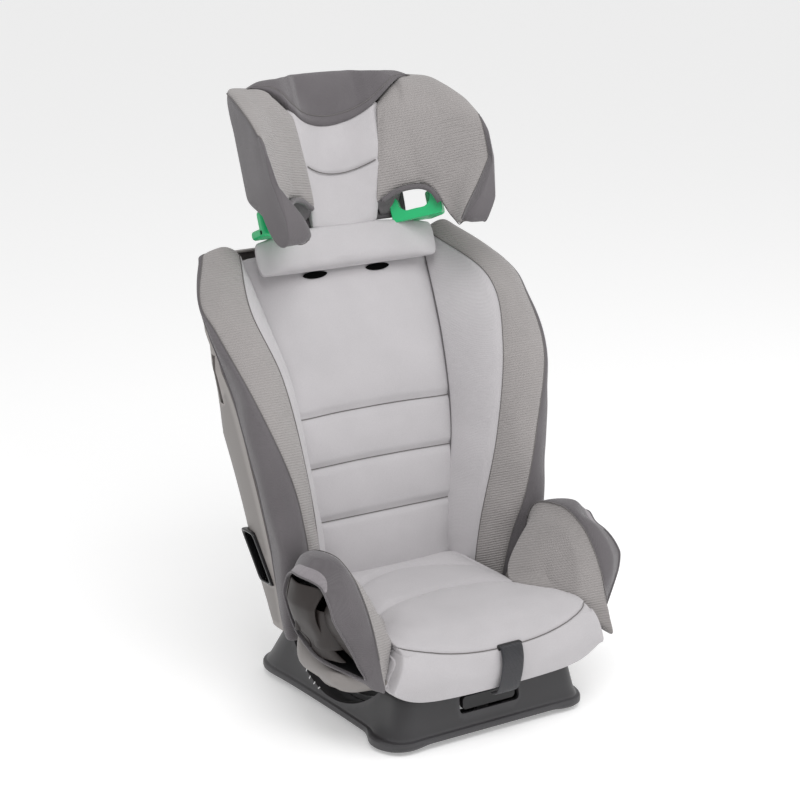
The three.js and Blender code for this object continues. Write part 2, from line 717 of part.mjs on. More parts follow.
// A green hook under the wing that steers the shoulder belt: a bar with an upright at each end.
function beltGuide() {
  const profile = outline([[6, 50], [70, 50], [70, 76], [61, 76], [61, 62], [15, 62], [15, 72], [6, 72]]);
  const alongWing = Math.SQRT1_2;
  return warped(extruded(profile, 12), (w, s, d) => {
    const n = 18 + w * alongWing + (d - 6) * alongWing;
    const x = 78 + w * alongWing - (d - 6) * alongWing;
    return [x, -n, s];
  });
}

function headrestRelease() {
  const grip = roundedBox(-42, 42, STEM_REAR + GAP, STEM_REAR + 11, 214, 246, 8);
  return cut(grip, roundedBox(-30, 30, STEM_REAR + 5, STEM_REAR + 20, 222, 238, 6));
}

// The pin passes through the stem and stops just short of the rack, clear of its notches.
function headrestLockPin() {
  return join(box(-8, 8, STEM_FRONT + 3, 47.6, -82, -68), box(-14, 14, 40, 42, -84, -66));
}

// ---------------------------------------------------------------- assembly
const carSeat = new THREE.Group();
carSeat.name = 'car_seat';
carSeat.position.set(0, -FRONT_TO_REAR_CENTRE, -FLOOR_Z);

// Slide frame: +Z runs up along the headrest slide and +Y points into the backrest.
const slideFrame = new THREE.Group();
slideFrame.position.set(0, SLIDE_Y, SLIDE_Z);
slideFrame.rotation.x = -LEAN;
carSeat.add(slideFrame);

function add(name, geometry, material, parent = carSeat) {
  const mesh = new THREE.Mesh(geometry, material);
  mesh.name = name;
  parent.add(mesh);
}

// Adds a +X piece as NAME_right and its mirror image as NAME_left.
function addPair(name, geometry, material, parent = carSeat) {
  add(name + '_right', geometry, material, parent);
  add(name + '_left', mirrored(geometry), material.clone(), parent);
}

// Base
add('base_shell', baseShell(), plastic(CHARCOAL));
add('base_plate', basePlate(), plastic(CHARCOAL));
for (const [end, direction] of [['front', -1], ['rear', 1]]) {
  addPair('foot_' + end, foot(FOOT_X, direction * FOOT_Y), plastic(BLACK, 0.9));
  addPair('plate_screw_' + end, plateScrew(SCREW_X, direction * SCREW_Y), steel());
}
addPair('track', track(), steel());
add('recline_handle', reclineHandle(), plastic(BLACK));
add('recline_bolt', reclineBolt(), steel());

// Seat and its runners
add('seat_shell', seatShell(), plastic(SHELL_GREY));
add('seat_cushion', seatCushion(), fabric(LIGHT_GREY));
addPair('runner', runner(), plastic(BLACK));
add('recline_rack', reclineRack(), steel());

// Backrest
add('back_shell', backShell(), plastic(SHELL_GREY));
add('back_pad', backPad(), fabric(LIGHT_GREY));
addPair('side_wing', sideWing(), fabric(DARK_GREY));
addPair('belt_frame', beltFrame(), plastic(BLACK, 0.3));
addPair('headrest_guide', headrestGuide(), plastic(BLACK), slideFrame);
add('headrest_rack', headrestRack(), steel(), slideFrame);

// Harness
add('adjuster_strap', adjusterStrap(), fabric(WEBBING));
add('adjuster_housing', adjusterHousing(), plastic(BLACK));
add('adjuster_lever', adjusterLever(), steel());
add('buckle_body', buckleBody(), plastic(BLACK));
add('buckle_button', buckleButton(), plastic(0xb3231f));
add('crotch_strap', crotchStrap(), fabric(WEBBING));
add('splitter_plate', splitterPlate(), steel());
addPair('shoulder_strap', shoulderStrap(), fabric(WEBBING), slideFrame);

// Arms and cup holders
addPair('arm', arm(), fabric(DARK_GREY));
addPair('cup_pocket', cupPocket(), plastic(CUP_BROWN, 0.4));
addPair('cup_holder', cupHolder(), plastic(CUP_BROWN, 0.4));
addPair('cup_pin', cupPin(), steel());

// Headrest
add('headrest_shell', headrestShell(), plastic(CHARCOAL), slideFrame);
add('headrest_stem', headrestStem(), plastic(BLACK), slideFrame);
add('headrest_pad', headrestPad(), fabric(LIGHT_GREY), slideFrame);
addPair('headrest_wing', headrestWing(), fabric(MID_GREY), slideFrame);
add('neck_pad', neckPad(), fabric(LIGHT_GREY), slideFrame);
add('harness_guide', harnessGuide(), plastic(BLACK), slideFrame);
addPair('belt_guide', beltGuide(), plastic(GUIDE_GREEN, 0.4), slideFrame);
add('headrest_release', headrestRelease(), plastic(BLACK), slideFrame);
add('headrest_lock_pin', headrestLockPin(), steel(), slideFrame);

export default carSeat;
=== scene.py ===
import json
import math

import bmesh
import bpy
import numpy as np
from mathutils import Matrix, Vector


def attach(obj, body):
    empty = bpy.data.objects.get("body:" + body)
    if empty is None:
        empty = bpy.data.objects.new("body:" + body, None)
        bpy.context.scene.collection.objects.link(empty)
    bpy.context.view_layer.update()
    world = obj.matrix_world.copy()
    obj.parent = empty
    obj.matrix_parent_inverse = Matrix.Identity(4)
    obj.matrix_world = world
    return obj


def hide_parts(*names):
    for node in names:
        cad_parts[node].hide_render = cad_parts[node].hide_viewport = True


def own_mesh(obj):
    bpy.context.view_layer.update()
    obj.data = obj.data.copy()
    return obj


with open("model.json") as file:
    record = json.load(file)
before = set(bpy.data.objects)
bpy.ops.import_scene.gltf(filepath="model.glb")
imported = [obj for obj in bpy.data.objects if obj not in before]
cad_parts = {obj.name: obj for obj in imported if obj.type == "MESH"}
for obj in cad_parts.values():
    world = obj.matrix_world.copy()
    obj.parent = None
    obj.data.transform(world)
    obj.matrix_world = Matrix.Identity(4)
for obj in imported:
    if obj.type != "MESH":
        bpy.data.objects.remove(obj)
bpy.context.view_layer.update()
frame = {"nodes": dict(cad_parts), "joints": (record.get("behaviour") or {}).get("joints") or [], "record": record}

# ------------------------------------------------------------------ places
# Shapes are laid out in millimetres in the seat's own layout: Y = 0 above the middle of the base,
# recline axis at (ROCK_Y, ROCK_Z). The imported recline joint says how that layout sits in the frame.
MM = 0.001
ROCK_Y, ROCK_Z = -15.0, 190.0
FLOOR_Z, FLOOR_REACH = 12.0, 12000.0
JOINTS = {joint["name"]: joint for joint in frame["joints"]}
ROCK_POINT = JOINTS["recline"]["pos_m"]
SHIFT = np.array([0.0, ROCK_POINT[1] / MM - ROCK_Y, ROCK_POINT[2] / MM - ROCK_Z])

# The headrest slides along this line; slide coordinates are x across, n out of the backrest, s up.
SLIDE_AXIS = JOINTS["headrest_height"]["axis"]
SIN_LEAN, COS_LEAN = SLIDE_AXIS[1], SLIDE_AXIS[2]
SLIDE_Y, SLIDE_Z = 174.0, 577.0

# Camera of the product view
AZIMUTH = math.radians(-33.49)
ELEVATION = math.radians(15.58)
DISTANCE = 3013.0
TARGET = (0.0, 35.4, 418.4)
LENS = 99.7

LABELS = {-1: "left", 1: "right"}  # name of each side, by the sign of X


def slid(x, n, s):
    """Points given in slide coordinates, in layout millimetres."""
    x, n, s = np.broadcast_arrays(np.asarray(x, float), n, s)
    y = SLIDE_Y + SIN_LEAN * s - COS_LEAN * n
    z = SLIDE_Z + COS_LEAN * s + SIN_LEAN * n
    return np.stack([x, y, z], axis=-1)


def to_frame(points):
    return (np.asarray(points, float) + SHIFT) * MM


# ------------------------------------------------------------------ curves
def lerp(a, b, t):
    return a + (b - a) * t


def ease(t):
    t = np.clip(t, 0.0, 1.0)
    return t * t * (3 - 2 * t)


def along(points, t, closed=False):
    """Point or points at share t (0 to 1) of a smooth curve through the given points."""
    p = np.asarray(points, float)
    if closed:
        spans = len(p)
        p = np.vstack([p[-1], p, p[0], p[1]])
    else:
        spans = len(p) - 1
        p = np.vstack([2 * p[0] - p[1], p, 2 * p[-1] - p[-2]])
    u = np.clip(np.asarray(t, float), 0, 1) * spans
    k = np.minimum(u.astype(int), spans - 1)
    f = (u - k)[..., None]
    a, b, c, d = p[k], p[k + 1], p[k + 2], p[k + 3]
    return 0.5 * (2 * b + (c - a) * f + (2 * a - 5 * b + 4 * c - d) * f**2 + (3 * b - a - 3 * c + d) * f**3)


def even(points, count, closed=False):
    """count points evenly spaced along a smooth curve through the given points."""
    fine = along(points, np.linspace(0, 1, 600), closed)
    length = np.concatenate([[0], np.cumsum(np.linalg.norm(np.diff(fine, axis=0), axis=1))])
    stops = np.linspace(0, length[-1], count + 1 if closed else count)
    out = np.stack([np.interp(stops, length, fine[:, k]) for k in range(fine.shape[1])], axis=1)
    return out[:-1] if closed else out


def rounded(corners, radius, counts, arc=4):
    """A closed ring through 3-D corners with rounded corners; edge k has counts[k] spaces.
    Returns the ring and, for each edge, the column where its straight part starts."""
    p = np.asarray(corners, float)
    n = len(p)
    ring, starts = [], []
    for k in range(n):
        a, b, c = p[k], p[(k + 1) % n], p[(k + 2) % n]
        edge, onward = b - a, c - b
        reach = np.linalg.norm(edge) + 1e-9
        before = np.linalg.norm(p[k] - p[k - 1]) + 1e-9
        r0 = min(radius, 0.45 * reach, 0.45 * before) / reach
        r1 = min(radius, 0.45 * reach, 0.45 * (np.linalg.norm(onward) + 1e-9)) / reach
        starts.append(len(ring))
        ring.extend(a + edge * lerp(r0, 1 - r1, i / counts[k]) for i in range(counts[k] + 1))
        leave = b + onward * (r1 * reach / (np.linalg.norm(onward) + 1e-9))
        enter = a + edge * (1 - r1)
        for i in range(1, arc):
            t = i / arc
            ring.append((1 - t) ** 2 * enter + 2 * t * (1 - t) * b + t * t * leave)
    return np.array(ring), starts


def back_y(z):
    """Y of the back pad's front surface on the centre line."""
    rise = z - 252
    return 68 + 0.215 * rise + 0.00035 * rise * rise


def front_curve(x, y):
    """How far the front of the cushion, apron and pan curve back at distance x from the middle."""
    bow = np.minimum(9 * (x / 143) ** 2, 12)
    return y + bow * np.clip((-90 - y) / 110, 0, 1)


def cushion_half(y, z=174.0):
    """Half width of the cushion: narrow between the arms, with an apron that flares downwards."""
    flare = 38 + 19 * np.clip((165 - z) / 50, 0, 1)
    return 113 + flare * ease((-80 - y) / 100)


def shell_half(z):
    """Half width of the back shell at height z."""
    body = lerp(174, 246, np.clip((z - 110) / 370, 0, 1) ** 1.25)
    return body - 62 * np.clip((z - 530) / 85, 0, 1) ** 2.2


def shell_rear(z):
    """Y of the rear of the back shell at height z."""
    fall = np.clip((200 - z) / 90, 0, 1) ** 1.5
    return back_y(z) + lerp(109, 62, np.clip((z - 200) / 380, 0, 1)) - 30 * fall


# Long edges of the back pad and of a side wing on the +X side, from the bottom up
PAD_EDGE = [(117, 58, 121), (117, 64, 220), (122, 84, 352), (129, 120, 462), (146, 196, 588)]
WING_ROOT = [(100, 66, 121), (100, 72, 220), (119, 84, 345), (129, 120, 462), (146, 196, 588)]
INNER_SEAM = [(124, 36, 121), (132, 30, 220), (155, 24, 345), (178, 43, 471), (193, 100, 556), (154, 196, 609)]
OUTER_SEAM = [(150, 6, 121), (164, 0, 200), (180, -14, 270), (200, -10, 355), (235, 22, 458),
              (250, 90, 533), (249, 138, 567), (206, 208, 612)]
BULGE = [(196, 8, 121), (210, -4, 190), (219, -4, 262), (233, 14, 355), (250, 46, 465), (256, 100, 532),
         (249, 144, 568), (212, 212, 608)]
REAR_EDGE = [(172, 60, 121), (188, 62, 205), (210, 68, 335), (242, 80, 462), (242, 136, 540), (202, 218, 602)]


def edge_at(curve, z, axis):
    """One coordinate of a long edge at height z."""
    fine = along(curve, np.linspace(0, 1, 200))
    return np.interp(z, fine[:, 2], fine[:, axis])


# ------------------------------------------------------------------ materials
def shader(name, **values):
    """A new material with set surface values; returns it with a maker of linked nodes."""
    material = bpy.data.materials.new(name)
    material.use_nodes = True
    tree = material.node_tree
    surface = tree.nodes["Principled BSDF"]

    def fill(socket, value):
        if isinstance(value, bpy.types.NodeSocket):
            tree.links.new(value, socket)
        else:
            socket.default_value = value

    def node(kind, **inputs):
        made = surface if kind == "surface" else tree.nodes.new(kind)
        for key, value in inputs.items():
            if hasattr(made, key):
                setattr(made, key, value)
            else:
                fill(made.inputs[int(key[1:]) if key[1:].isdigit() else key.replace("_", " ")], value)
        return made

    node("surface", **values)
    return material, node


def calc(node, operation, a, b=0.0, c=0.0):
    return node("ShaderNodeMath", operation=operation, i0=a, i1=b, i2=c).outputs[0]


def tinted(node, colour, amount):
    """colour scaled by (1 + amount), where amount is a socket around zero."""
    gain = calc(node, "ADD", amount, 1.0)
    scaled = node("ShaderNodeVectorMath", operation="SCALE", i0=(*colour,), Scale=gain)
    return scaled.outputs[0]


def grid_lines(node, place, pitch):
    """A fine woven cell pattern in object space that runs along every surface direction."""
    x, y, z = place.outputs[0], place.outputs[1], place.outputs[2]
    turn = 2 * math.pi / pitch
    warp = calc(node, "SINE", calc(node, "MULTIPLY", calc(node, "ADD", x, y), turn))
    slope = calc(node, "MULTIPLY_ADD", y, 0.37, z)
    weft = calc(node, "SINE", calc(node, "MULTIPLY", slope, turn))
    return calc(node, "MULTIPLY", warp, weft)


def noise(node, spot, scale, detail, **more):
    return node("ShaderNodeTexNoise", Vector=spot, Scale=scale, Detail=detail, **more).outputs[0]


def swing(node, value, size):
    """A 0 to 1 value turned into one that swings about zero by half of size."""
    return calc(node, "MULTIPLY", calc(node, "SUBTRACT", value, 0.5), size)


def dress(node, colour, amount, height, strength, distance):
    """Gives the surface its uneven colour and its bump."""
    bump = node("ShaderNodeBump", Strength=strength, Distance=distance * MM, Height=height)
    node("surface", Base_Color=tinted(node, colour, amount), Normal=bump.outputs[0])


def fabric(name, colour, weave=1.7 * MM, rib=0.0, depth=0.5, sheen=0.3, tone=0.05):
    """Knit or woven cover: fine cells, fibre noise, soft uneven tone, optional ribs and sheen."""
    material, node = shader(name, Roughness=0.9, Specular_IOR_Level=0.25, Sheen_Weight=sheen,
                            Sheen_Roughness=0.45)
    spot = node("ShaderNodeTexCoord").outputs["Object"]
    place = node("ShaderNodeSeparateXYZ", i0=spot)
    cells = grid_lines(node, place, weave)
    fibre = noise(node, spot, 900.0, 3.0)
    uneven = swing(node, noise(node, spot, 16.0, 2.0), 3.2 * tone)
    fleck = swing(node, fibre, 4 * tone)
    amount = calc(node, "ADD", uneven, calc(node, "MULTIPLY_ADD", cells, 0.8 * tone, fleck))
    height = calc(node, "MULTIPLY_ADD", cells, 0.5, fibre)
    if rib:
        lift = calc(node, "MULTIPLY_ADD", place.outputs[1], SIN_LEAN, place.outputs[2])
        band = calc(node, "SINE", calc(node, "MULTIPLY", lift, 2 * math.pi / rib))
        amount = calc(node, "MULTIPLY_ADD", band, 0.055, amount)
        height = calc(node, "MULTIPLY_ADD", band, 0.9, height)
    dress(node, colour, amount, height, depth, 0.5)
    return material


def plastic(name, colour, roughness=0.45, grain=0.25, wear=0.35, coat=0.0, gloss=0.5):
    """Moulded plastic: fine grain, uneven gloss, faint scuffs and lighter worn edges."""
    material, node = shader(name, Specular_IOR_Level=gloss, Coat_Weight=coat, Coat_Roughness=0.12)
    spot = node("ShaderNodeTexCoord").outputs["Object"]
    cloud = noise(node, spot, 22.0, 4.0, Roughness=0.65)
    edges = node("ShaderNodeNewGeometry").outputs["Pointiness"]
    worn = node("ShaderNodeMapRange", i0=edges, i1=0.52, i2=0.62, i3=0.0, i4=wear).outputs[0]
    amount = calc(node, "ADD", swing(node, cloud, 0.22), worn)
    node("surface", Roughness=calc(node, "MULTIPLY_ADD", calc(node, "SUBTRACT", cloud, 0.5), 0.25, roughness))
    dress(node, colour, amount, noise(node, spot, 1500.0, 2.0), grain, 0.15)
    return material


def metal(name, colour):
    """Zinc plated steel with fine drawn lines."""
    material, node = shader(name, Metallic=1.0, Roughness=0.36)
    spot = node("ShaderNodeTexCoord").outputs["Object"]
    stretched = node("ShaderNodeMapping", Vector=spot, Scale=(1.0, 0.05, 1.0)).outputs[0]
    lines = noise(node, stretched, 1200.0, 3.0)
    dress(node, colour, swing(node, lines, 0.3), lines, 0.2, 0.1)
    return material


COLOURS = {entry["slot"]: entry["base_color"] for entry in frame["record"]["materials"]}
# The covers are lit more strongly than the base, so some tones are taken down
GAINS = {"fabric_light": 0.9, "base_plastic": 0.62, "shell_plastic": 0.85, "cup_plastic": 0.5}
for tone_slot, gain in GAINS.items():
    COLOURS[tone_slot] = [gain * c for c in COLOURS[tone_slot]]
LOOKS = {
    "fabric_light": fabric("light_knit", COLOURS["fabric_light"]),
    "fabric_mid": fabric("mid_ribbed_knit", COLOURS["fabric_mid"], rib=3.6 * MM, depth=0.7),
    "fabric_dark": fabric("dark_weave", COLOURS["fabric_dark"], weave=2.2 * MM, depth=0.7, tone=0.08),
    "webbing": fabric("webbing_weave", COLOURS["webbing"], weave=1.4 * MM, rib=1.6 * MM, depth=0.9),
    "base_plastic": plastic("charcoal_plastic", COLOURS["base_plastic"], 0.42),
    "shell_plastic": plastic("shell_plastic", COLOURS["shell_plastic"], 0.5),
    "black_plastic": plastic("black_plastic", COLOURS["black_plastic"], 0.5),
    "gloss_black": plastic("gloss_black", COLOURS["gloss_black"], 0.18, 0.05, 0.2, 0.5),
    "cup_plastic": plastic("cup_plastic", COLOURS["cup_plastic"], 0.5, 0.12, 0.2),
    "guide_green": plastic("guide_green", COLOURS["guide_green"], 0.33, 0.1, 0.15, 0.2),
    "button_red": plastic("button_red", COLOURS["button_red"], 0.3, 0.1, 0.2, 0.2),
    "steel": metal("zinc_steel", COLOURS["steel"]),
    "rubber": plastic("foot_rubber", COLOURS["rubber"], 0.85, 0.6, 0.15),
    # Seam cords at half the ribbed fabric's tone: the seam thread plus painted shade of the sewn grooves
    "seam": fabric("seam_thread_groove_shade", [0.5 * c for c in COLOURS["fabric_mid"]], weave=1.1 * MM, sheen=0.1),
    "patch": fabric("arm_patch", [2.1 * c for c in COLOURS["fabric_dark"]], weave=3.0 * MM, depth=0.9,
                    tone=0.1),
    # Near-black lining without reflection for the harness slot mouths: painted shadow inside the openings
    "slot_shadow": plastic("slot_painted_shadow", (0.003, 0.003, 0.003), 0.9, 0.1, 0.0, gloss=0.02),
    "tick": plastic("tick_white", (0.62, 0.62, 0.62), 0.5),
}


# ------------------------------------------------------------------ mesh building
def mesh_object(name, points, faces, slots, zones=None):
    """An object in frame metres from layout points; slots are looks, zones the slot of each face."""
    mesh = bpy.data.meshes.new(name)
    mesh.from_pydata(to_frame(points).tolist(), [], faces)
    for slot_name in slots:
        mesh.materials.append(LOOKS[slot_name])
    if zones is not None:
        mesh.polygons.foreach_set("material_index", np.asarray(zones, np.int32))
    work = bmesh.new()
    work.from_mesh(mesh)
    bmesh.ops.recalc_face_normals(work, faces=work.faces)
    work.to_mesh(mesh)
    work.free()
    mesh.polygons.foreach_set("use_smooth", [True] * len(mesh.polygons))
    made = bpy.data.objects.new(name, mesh)
    bpy.context.scene.collection.objects.link(made)
    return made


def tube_faces(rows, cols, base=0, endless=False):
    """Quads between successive closed rings of points, whose first vertex is base."""
    return [tuple(base + k for k in (r * cols + c, r * cols + (c + 1) % cols,
                                     (r + 1) % rows * cols + (c + 1) % cols, (r + 1) % rows * cols + c))
            for r in range(rows if endless else rows - 1) for c in range(cols)]


def loft(name, rings, slots, zone=None):
    """A closed body through rings of points (rows x columns x 3) with a fan at each end; zone(row, column)
    gives a face's slot."""
    rings = np.asarray(rings, float)
    rows, cols = rings.shape[:2]
    points = np.vstack([rings.reshape(-1, 3), rings[0].mean(0), rings[-1].mean(0)])
    faces = tube_faces(rows, cols)
    spots = [(r, c) for r in range(rows - 1) for c in range(cols)]
    first = rows * cols
    for c in range(cols):
        d = (c + 1) % cols
        faces += [(d, c, first), (first - cols + c, first - cols + d, first + 1)]
        spots += [(0, c), (rows - 2, c)]
    return mesh_object(name, points, faces, slots, [zone(r, c) for r, c in spots] if zone else None)


def turned(x, y, profile, sides=64):
    """Round rings about the vertical line through (x, y), one for each (radius, z) of the profile."""
    turn = np.linspace(0, 2 * math.pi, sides, endpoint=False)
    return [np.column_stack([x + r * np.cos(turn), y + r * np.sin(turn), np.full(sides, z)])
            for r, z in profile]


def thick_sheet(name, outer, inner, slots):
    """A closed shell between two grids of points of the same size."""
    outer, inner = np.asarray(outer, float), np.asarray(inner, float)
    rows, cols = outer.shape[:2]
    faces = []
    for base, back in ((0, False), (rows * cols, True)):
        for r in range(rows - 1):
            for c in range(cols - 1):
                k = base + r * cols + c
                quad = (k, k + 1, k + cols + 1, k + cols)
                faces.append(quad[::-1] if back else quad)
    border = [c for c in range(cols)] + [r * cols + cols - 1 for r in range(1, rows)]
    border += [(rows - 1) * cols + c for c in range(cols - 2, -1, -1)]
    border += [r * cols for r in range(rows - 2, 0, -1)]
    shift = rows * cols
    for a, b in zip(border, border[1:] + border[:1]):
        faces.append((b, a, a + shift, b + shift))
    return mesh_object(name, np.vstack([outer.reshape(-1, 3), inner.reshape(-1, 3)]), faces, slots)


def domed(rings, start=0.0, end=0.0, steps=5):
    """Adds rounded ends: rings that shrink to the middle while moving on by start and end."""
    rings = list(np.asarray(rings, float))

    def cap(edge, before, height):
        centre = edge.mean(0)
        onward = centre - before.mean(0)
        onward = onward / (np.linalg.norm(onward) + 1e-9) * height
        turns = np.linspace(0, math.pi / 2, steps + 1)[1:]
        return [centre + (edge - centre) * max(math.cos(a), 0.05) + onward * math.sin(a) for a in turns]

    first = cap(rings[0], rings[1], start)[::-1]
    last = cap(rings[-1], rings[-2], end)
    return np.array(first + rings + last)


def mirrored(rings, side):
    """Rings laid out on the +X side, moved to the given side."""
    rings = np.array(rings, float)
    rings[..., 0] *= side
    return rings


def coords(obj):
    flat = np.zeros(len(obj.data.vertices) * 3)
    obj.data.vertices.foreach_get("co", flat)
    return flat.reshape(-1, 3)


def set_coords(obj, points):
    obj.data.vertices.foreach_set("co", np.asarray(points, float).ravel())
    obj.data.update()


def normals(obj):
    flat = np.zeros(len(obj.data.vertices) * 3)
    obj.data.vertices.foreach_get("normal", flat)
    return flat.reshape(-1, 3)


def edge_ends(obj):
    """The two vertices of every edge, as two arrays."""
    pairs = np.zeros(len(obj.data.edges) * 2, np.int32)
    obj.data.edges.foreach_get("vertices", pairs)
    return pairs.reshape(-1, 2).T


# ------------------------------------------------------------------ cloth and sewing
CLOTH_FRAMES = 20
CLOTH_PRESSURE = 4.0
CLOTH_GROWTH = 0.02
SEAM_RADIUS, PIPING_RADIUS, BINDING_RADIUS = 0.7, 1.5, 4.0
PADS = []


def pad(obj, rings, is_held, room, also=()):
    """Notes a sewn cover for the cloth simulation. Its seams are the vertices that is_held(row, column)
    picks, those in also and the two end centres; room is how far it may swell, in mm."""
    rows, cols = rings.shape[:2]
    held = [r * cols + c for r in range(rows) for c in range(cols) if is_held(r, c)]
    PADS.append((obj, held + list(also) + [rows * cols, rows * cols + 1], room))
    return obj


def evened(obj, move, held, rounds=8):
    """Takes short ripples out of a cover's swelling by averaging it over neighbouring vertices."""
    a, b = edge_ends(obj)
    count = np.bincount(np.concatenate([a, b]), minlength=len(move))[:, None]
    for _ in range(rounds):
        total = np.zeros_like(move)
        np.add.at(total, a, move[b])
        np.add.at(total, b, move[a])
        move = 0.4 * move + 0.6 * total / count
        move[held] = 0
    return move


def inflate_pads():
    """Swells every noted cover with cloth pressure between its seams, at most as far as its room."""
    scene = bpy.context.scene
    rest = {}
    for obj, held, _ in PADS:
        rest[obj.name] = coords(obj)
        group = obj.vertex_groups.new(name="seams")
        group.add(held, 1.0, "REPLACE")
        cloth = obj.modifiers.new("cloth", "CLOTH")
        cloth.settings.vertex_group_mass = "seams"
        cloth.settings.use_pressure = True
        cloth.settings.uniform_pressure_force = CLOTH_PRESSURE
        cloth.settings.shrink_min = -CLOTH_GROWTH
        cloth.settings.effector_weights.gravity = 0.0
        cloth.collision_settings.use_collision = False
        cloth.point_cache.frame_end = CLOTH_FRAMES
    for step in range(1, CLOTH_FRAMES + 1):
        scene.frame_set(step)
    graph = bpy.context.evaluated_depsgraph_get()
    swollen = {obj.name: coords(obj.evaluated_get(graph)) for obj, _, _ in PADS}
    for obj, held, room in PADS:
        obj.modifiers.clear()
        obj.vertex_groups.clear()
        move = evened(obj, swollen[obj.name] - rest[obj.name], held)
        reach = np.linalg.norm(move, axis=1, keepdims=True) + 1e-12
        limit = room * MM
        set_coords(obj, rest[obj.name] + move / reach * limit * np.tanh(reach / limit))
    scene.frame_set(1)


def sink(obj, amount):
    """Moves each vertex inwards along its normal by amount (mm per vertex)."""
    set_coords(obj, coords(obj) - normals(obj) * (np.asarray(amount, float) * MM)[:, None])


def smooth(obj, levels=1):
    """Adds subdivision smoothing."""
    modifier = obj.modifiers.new("subdivision", "SUBSURF")
    modifier.levels = levels
    modifier.render_levels = levels
    return obj


def cord(name, paths, radius, look, body):
    """Round cords along paths given in frame metres, as one mesh."""
    sides = 6
    points, faces = [], []
    for path in paths:
        path = np.asarray(path, float)
        base = len(points)
        for place, way in zip(path, np.gradient(path, axis=0)):
            way = Vector(way).normalized()
            first = len(points) == base
            across = (way.orthogonal() if first else across - way * across.dot(way)).normalized()
            up = way.cross(across)
            for turn in np.arange(sides) * (2 * math.pi / sides):
                points.append(Vector(place) + (across * math.cos(turn) + up * math.sin(turn)) * radius * MM)
        faces += tube_faces(len(path), sides, base)
        faces += [tuple(range(base, base + sides)), tuple(range(len(points) - sides, len(points)))]
    made = mesh_object(name, np.array([list(p) for p in points]) / MM - SHIFT, faces, [look])
    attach(made, body)
    return made


def sew(obj, lines, depth, body):
    """Pulls lines of vertices into the cover and lays a thin seam cord in each groove; the cord's dark colour is
    the thread plus painted shade of the groove.
    """
    pull = np.zeros(len(obj.data.vertices))
    for line in lines:
        pull[line] = depth
    a, b = edge_ends(obj)
    beside = pull.copy()
    np.maximum.at(beside, a, 0.42 * pull[b])
    np.maximum.at(beside, b, 0.42 * pull[a])
    sink(obj, beside)
    sunk = coords(obj) + normals(obj) * (0.45 * depth * MM)
    cord(obj.name + "_seams", [sunk[line] for line in lines], SEAM_RADIUS, "seam", body)


def finish_piece(obj, body, slot_name, *nodes):
    """Puts a piece on its body and hides the nodes it replaces; slot_name is not used."""
    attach(obj, body)
    if nodes:
        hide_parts(*nodes)
    return obj


def cut_with(obj, *cutters):
    """Cuts solids out of obj and removes them."""
    for cutter in cutters:
        modifier = obj.modifiers.new("cut", "BOOLEAN")
        modifier.operation = "DIFFERENCE"
        modifier.solver = "EXACT"
        modifier.object = cutter
    graph = bpy.context.evaluated_depsgraph_get()
    made = bpy.data.meshes.new_from_object(obj.evaluated_get(graph))
    obj.modifiers.clear()
    obj.data = made
    for cutter in cutters:
        bpy.data.objects.remove(cutter)
    return obj


def block(x0, x1, y0, y1, z0, z1, slant=0.0):
    """A box solid used to cut openings; slant moves its upper side back by slant times its height."""
    tall = slant * (z1 - z0) / 2
    points = [(x, y + (tall if z == z1 else -tall), z) for x in (x0, x1) for y in (y0, y1) for z in (z0, z1)]
    faces = [(0, 1, 3, 2), (4, 6, 7, 5), (0, 4, 5, 1), (2, 3, 7, 6), (0, 2, 6, 4), (1, 5, 7, 3)]
    return mesh_object("cutter", points, faces, [])


def saddle(radius, half, sides=160):
    """A cylinder about the recline axis, used to cut the recline saddle."""
    turn = np.linspace(0, 2 * math.pi, sides, endpoint=False)
    ring = np.stack([np.zeros(sides), ROCK_Y + radius * np.cos(turn), ROCK_Z + radius * np.sin(turn)], axis=1)
    return loft("cutter", [ring - (half, 0, 0), ring + (half, 0, 0)], [])


def soft_edges(obj, width, segments=2, angle=35):
    """Rounds the sharp edges of a hard part."""
    bevel = obj.modifiers.new("edge rounding", "BEVEL")
    bevel.width = width * MM
    bevel.segments = segments
    bevel.limit_method = "ANGLE"
    bevel.angle_limit = math.radians(angle)
    bevel.harden_normals = True
    return obj


# ------------------------------------------------------------------ side wings
def wing_edge(curve, t, lift=0.0):
    """Point of a long wing edge at share t of its height."""
    fine = along(curve, np.linspace(0, 1, 300))
    z = lerp(fine[0, 2], fine[-1, 2], t)
    return np.array([np.interp(z, fine[:, 2], fine[:, 0]), np.interp(z, fine[:, 2], fine[:, 1]), z + lift])


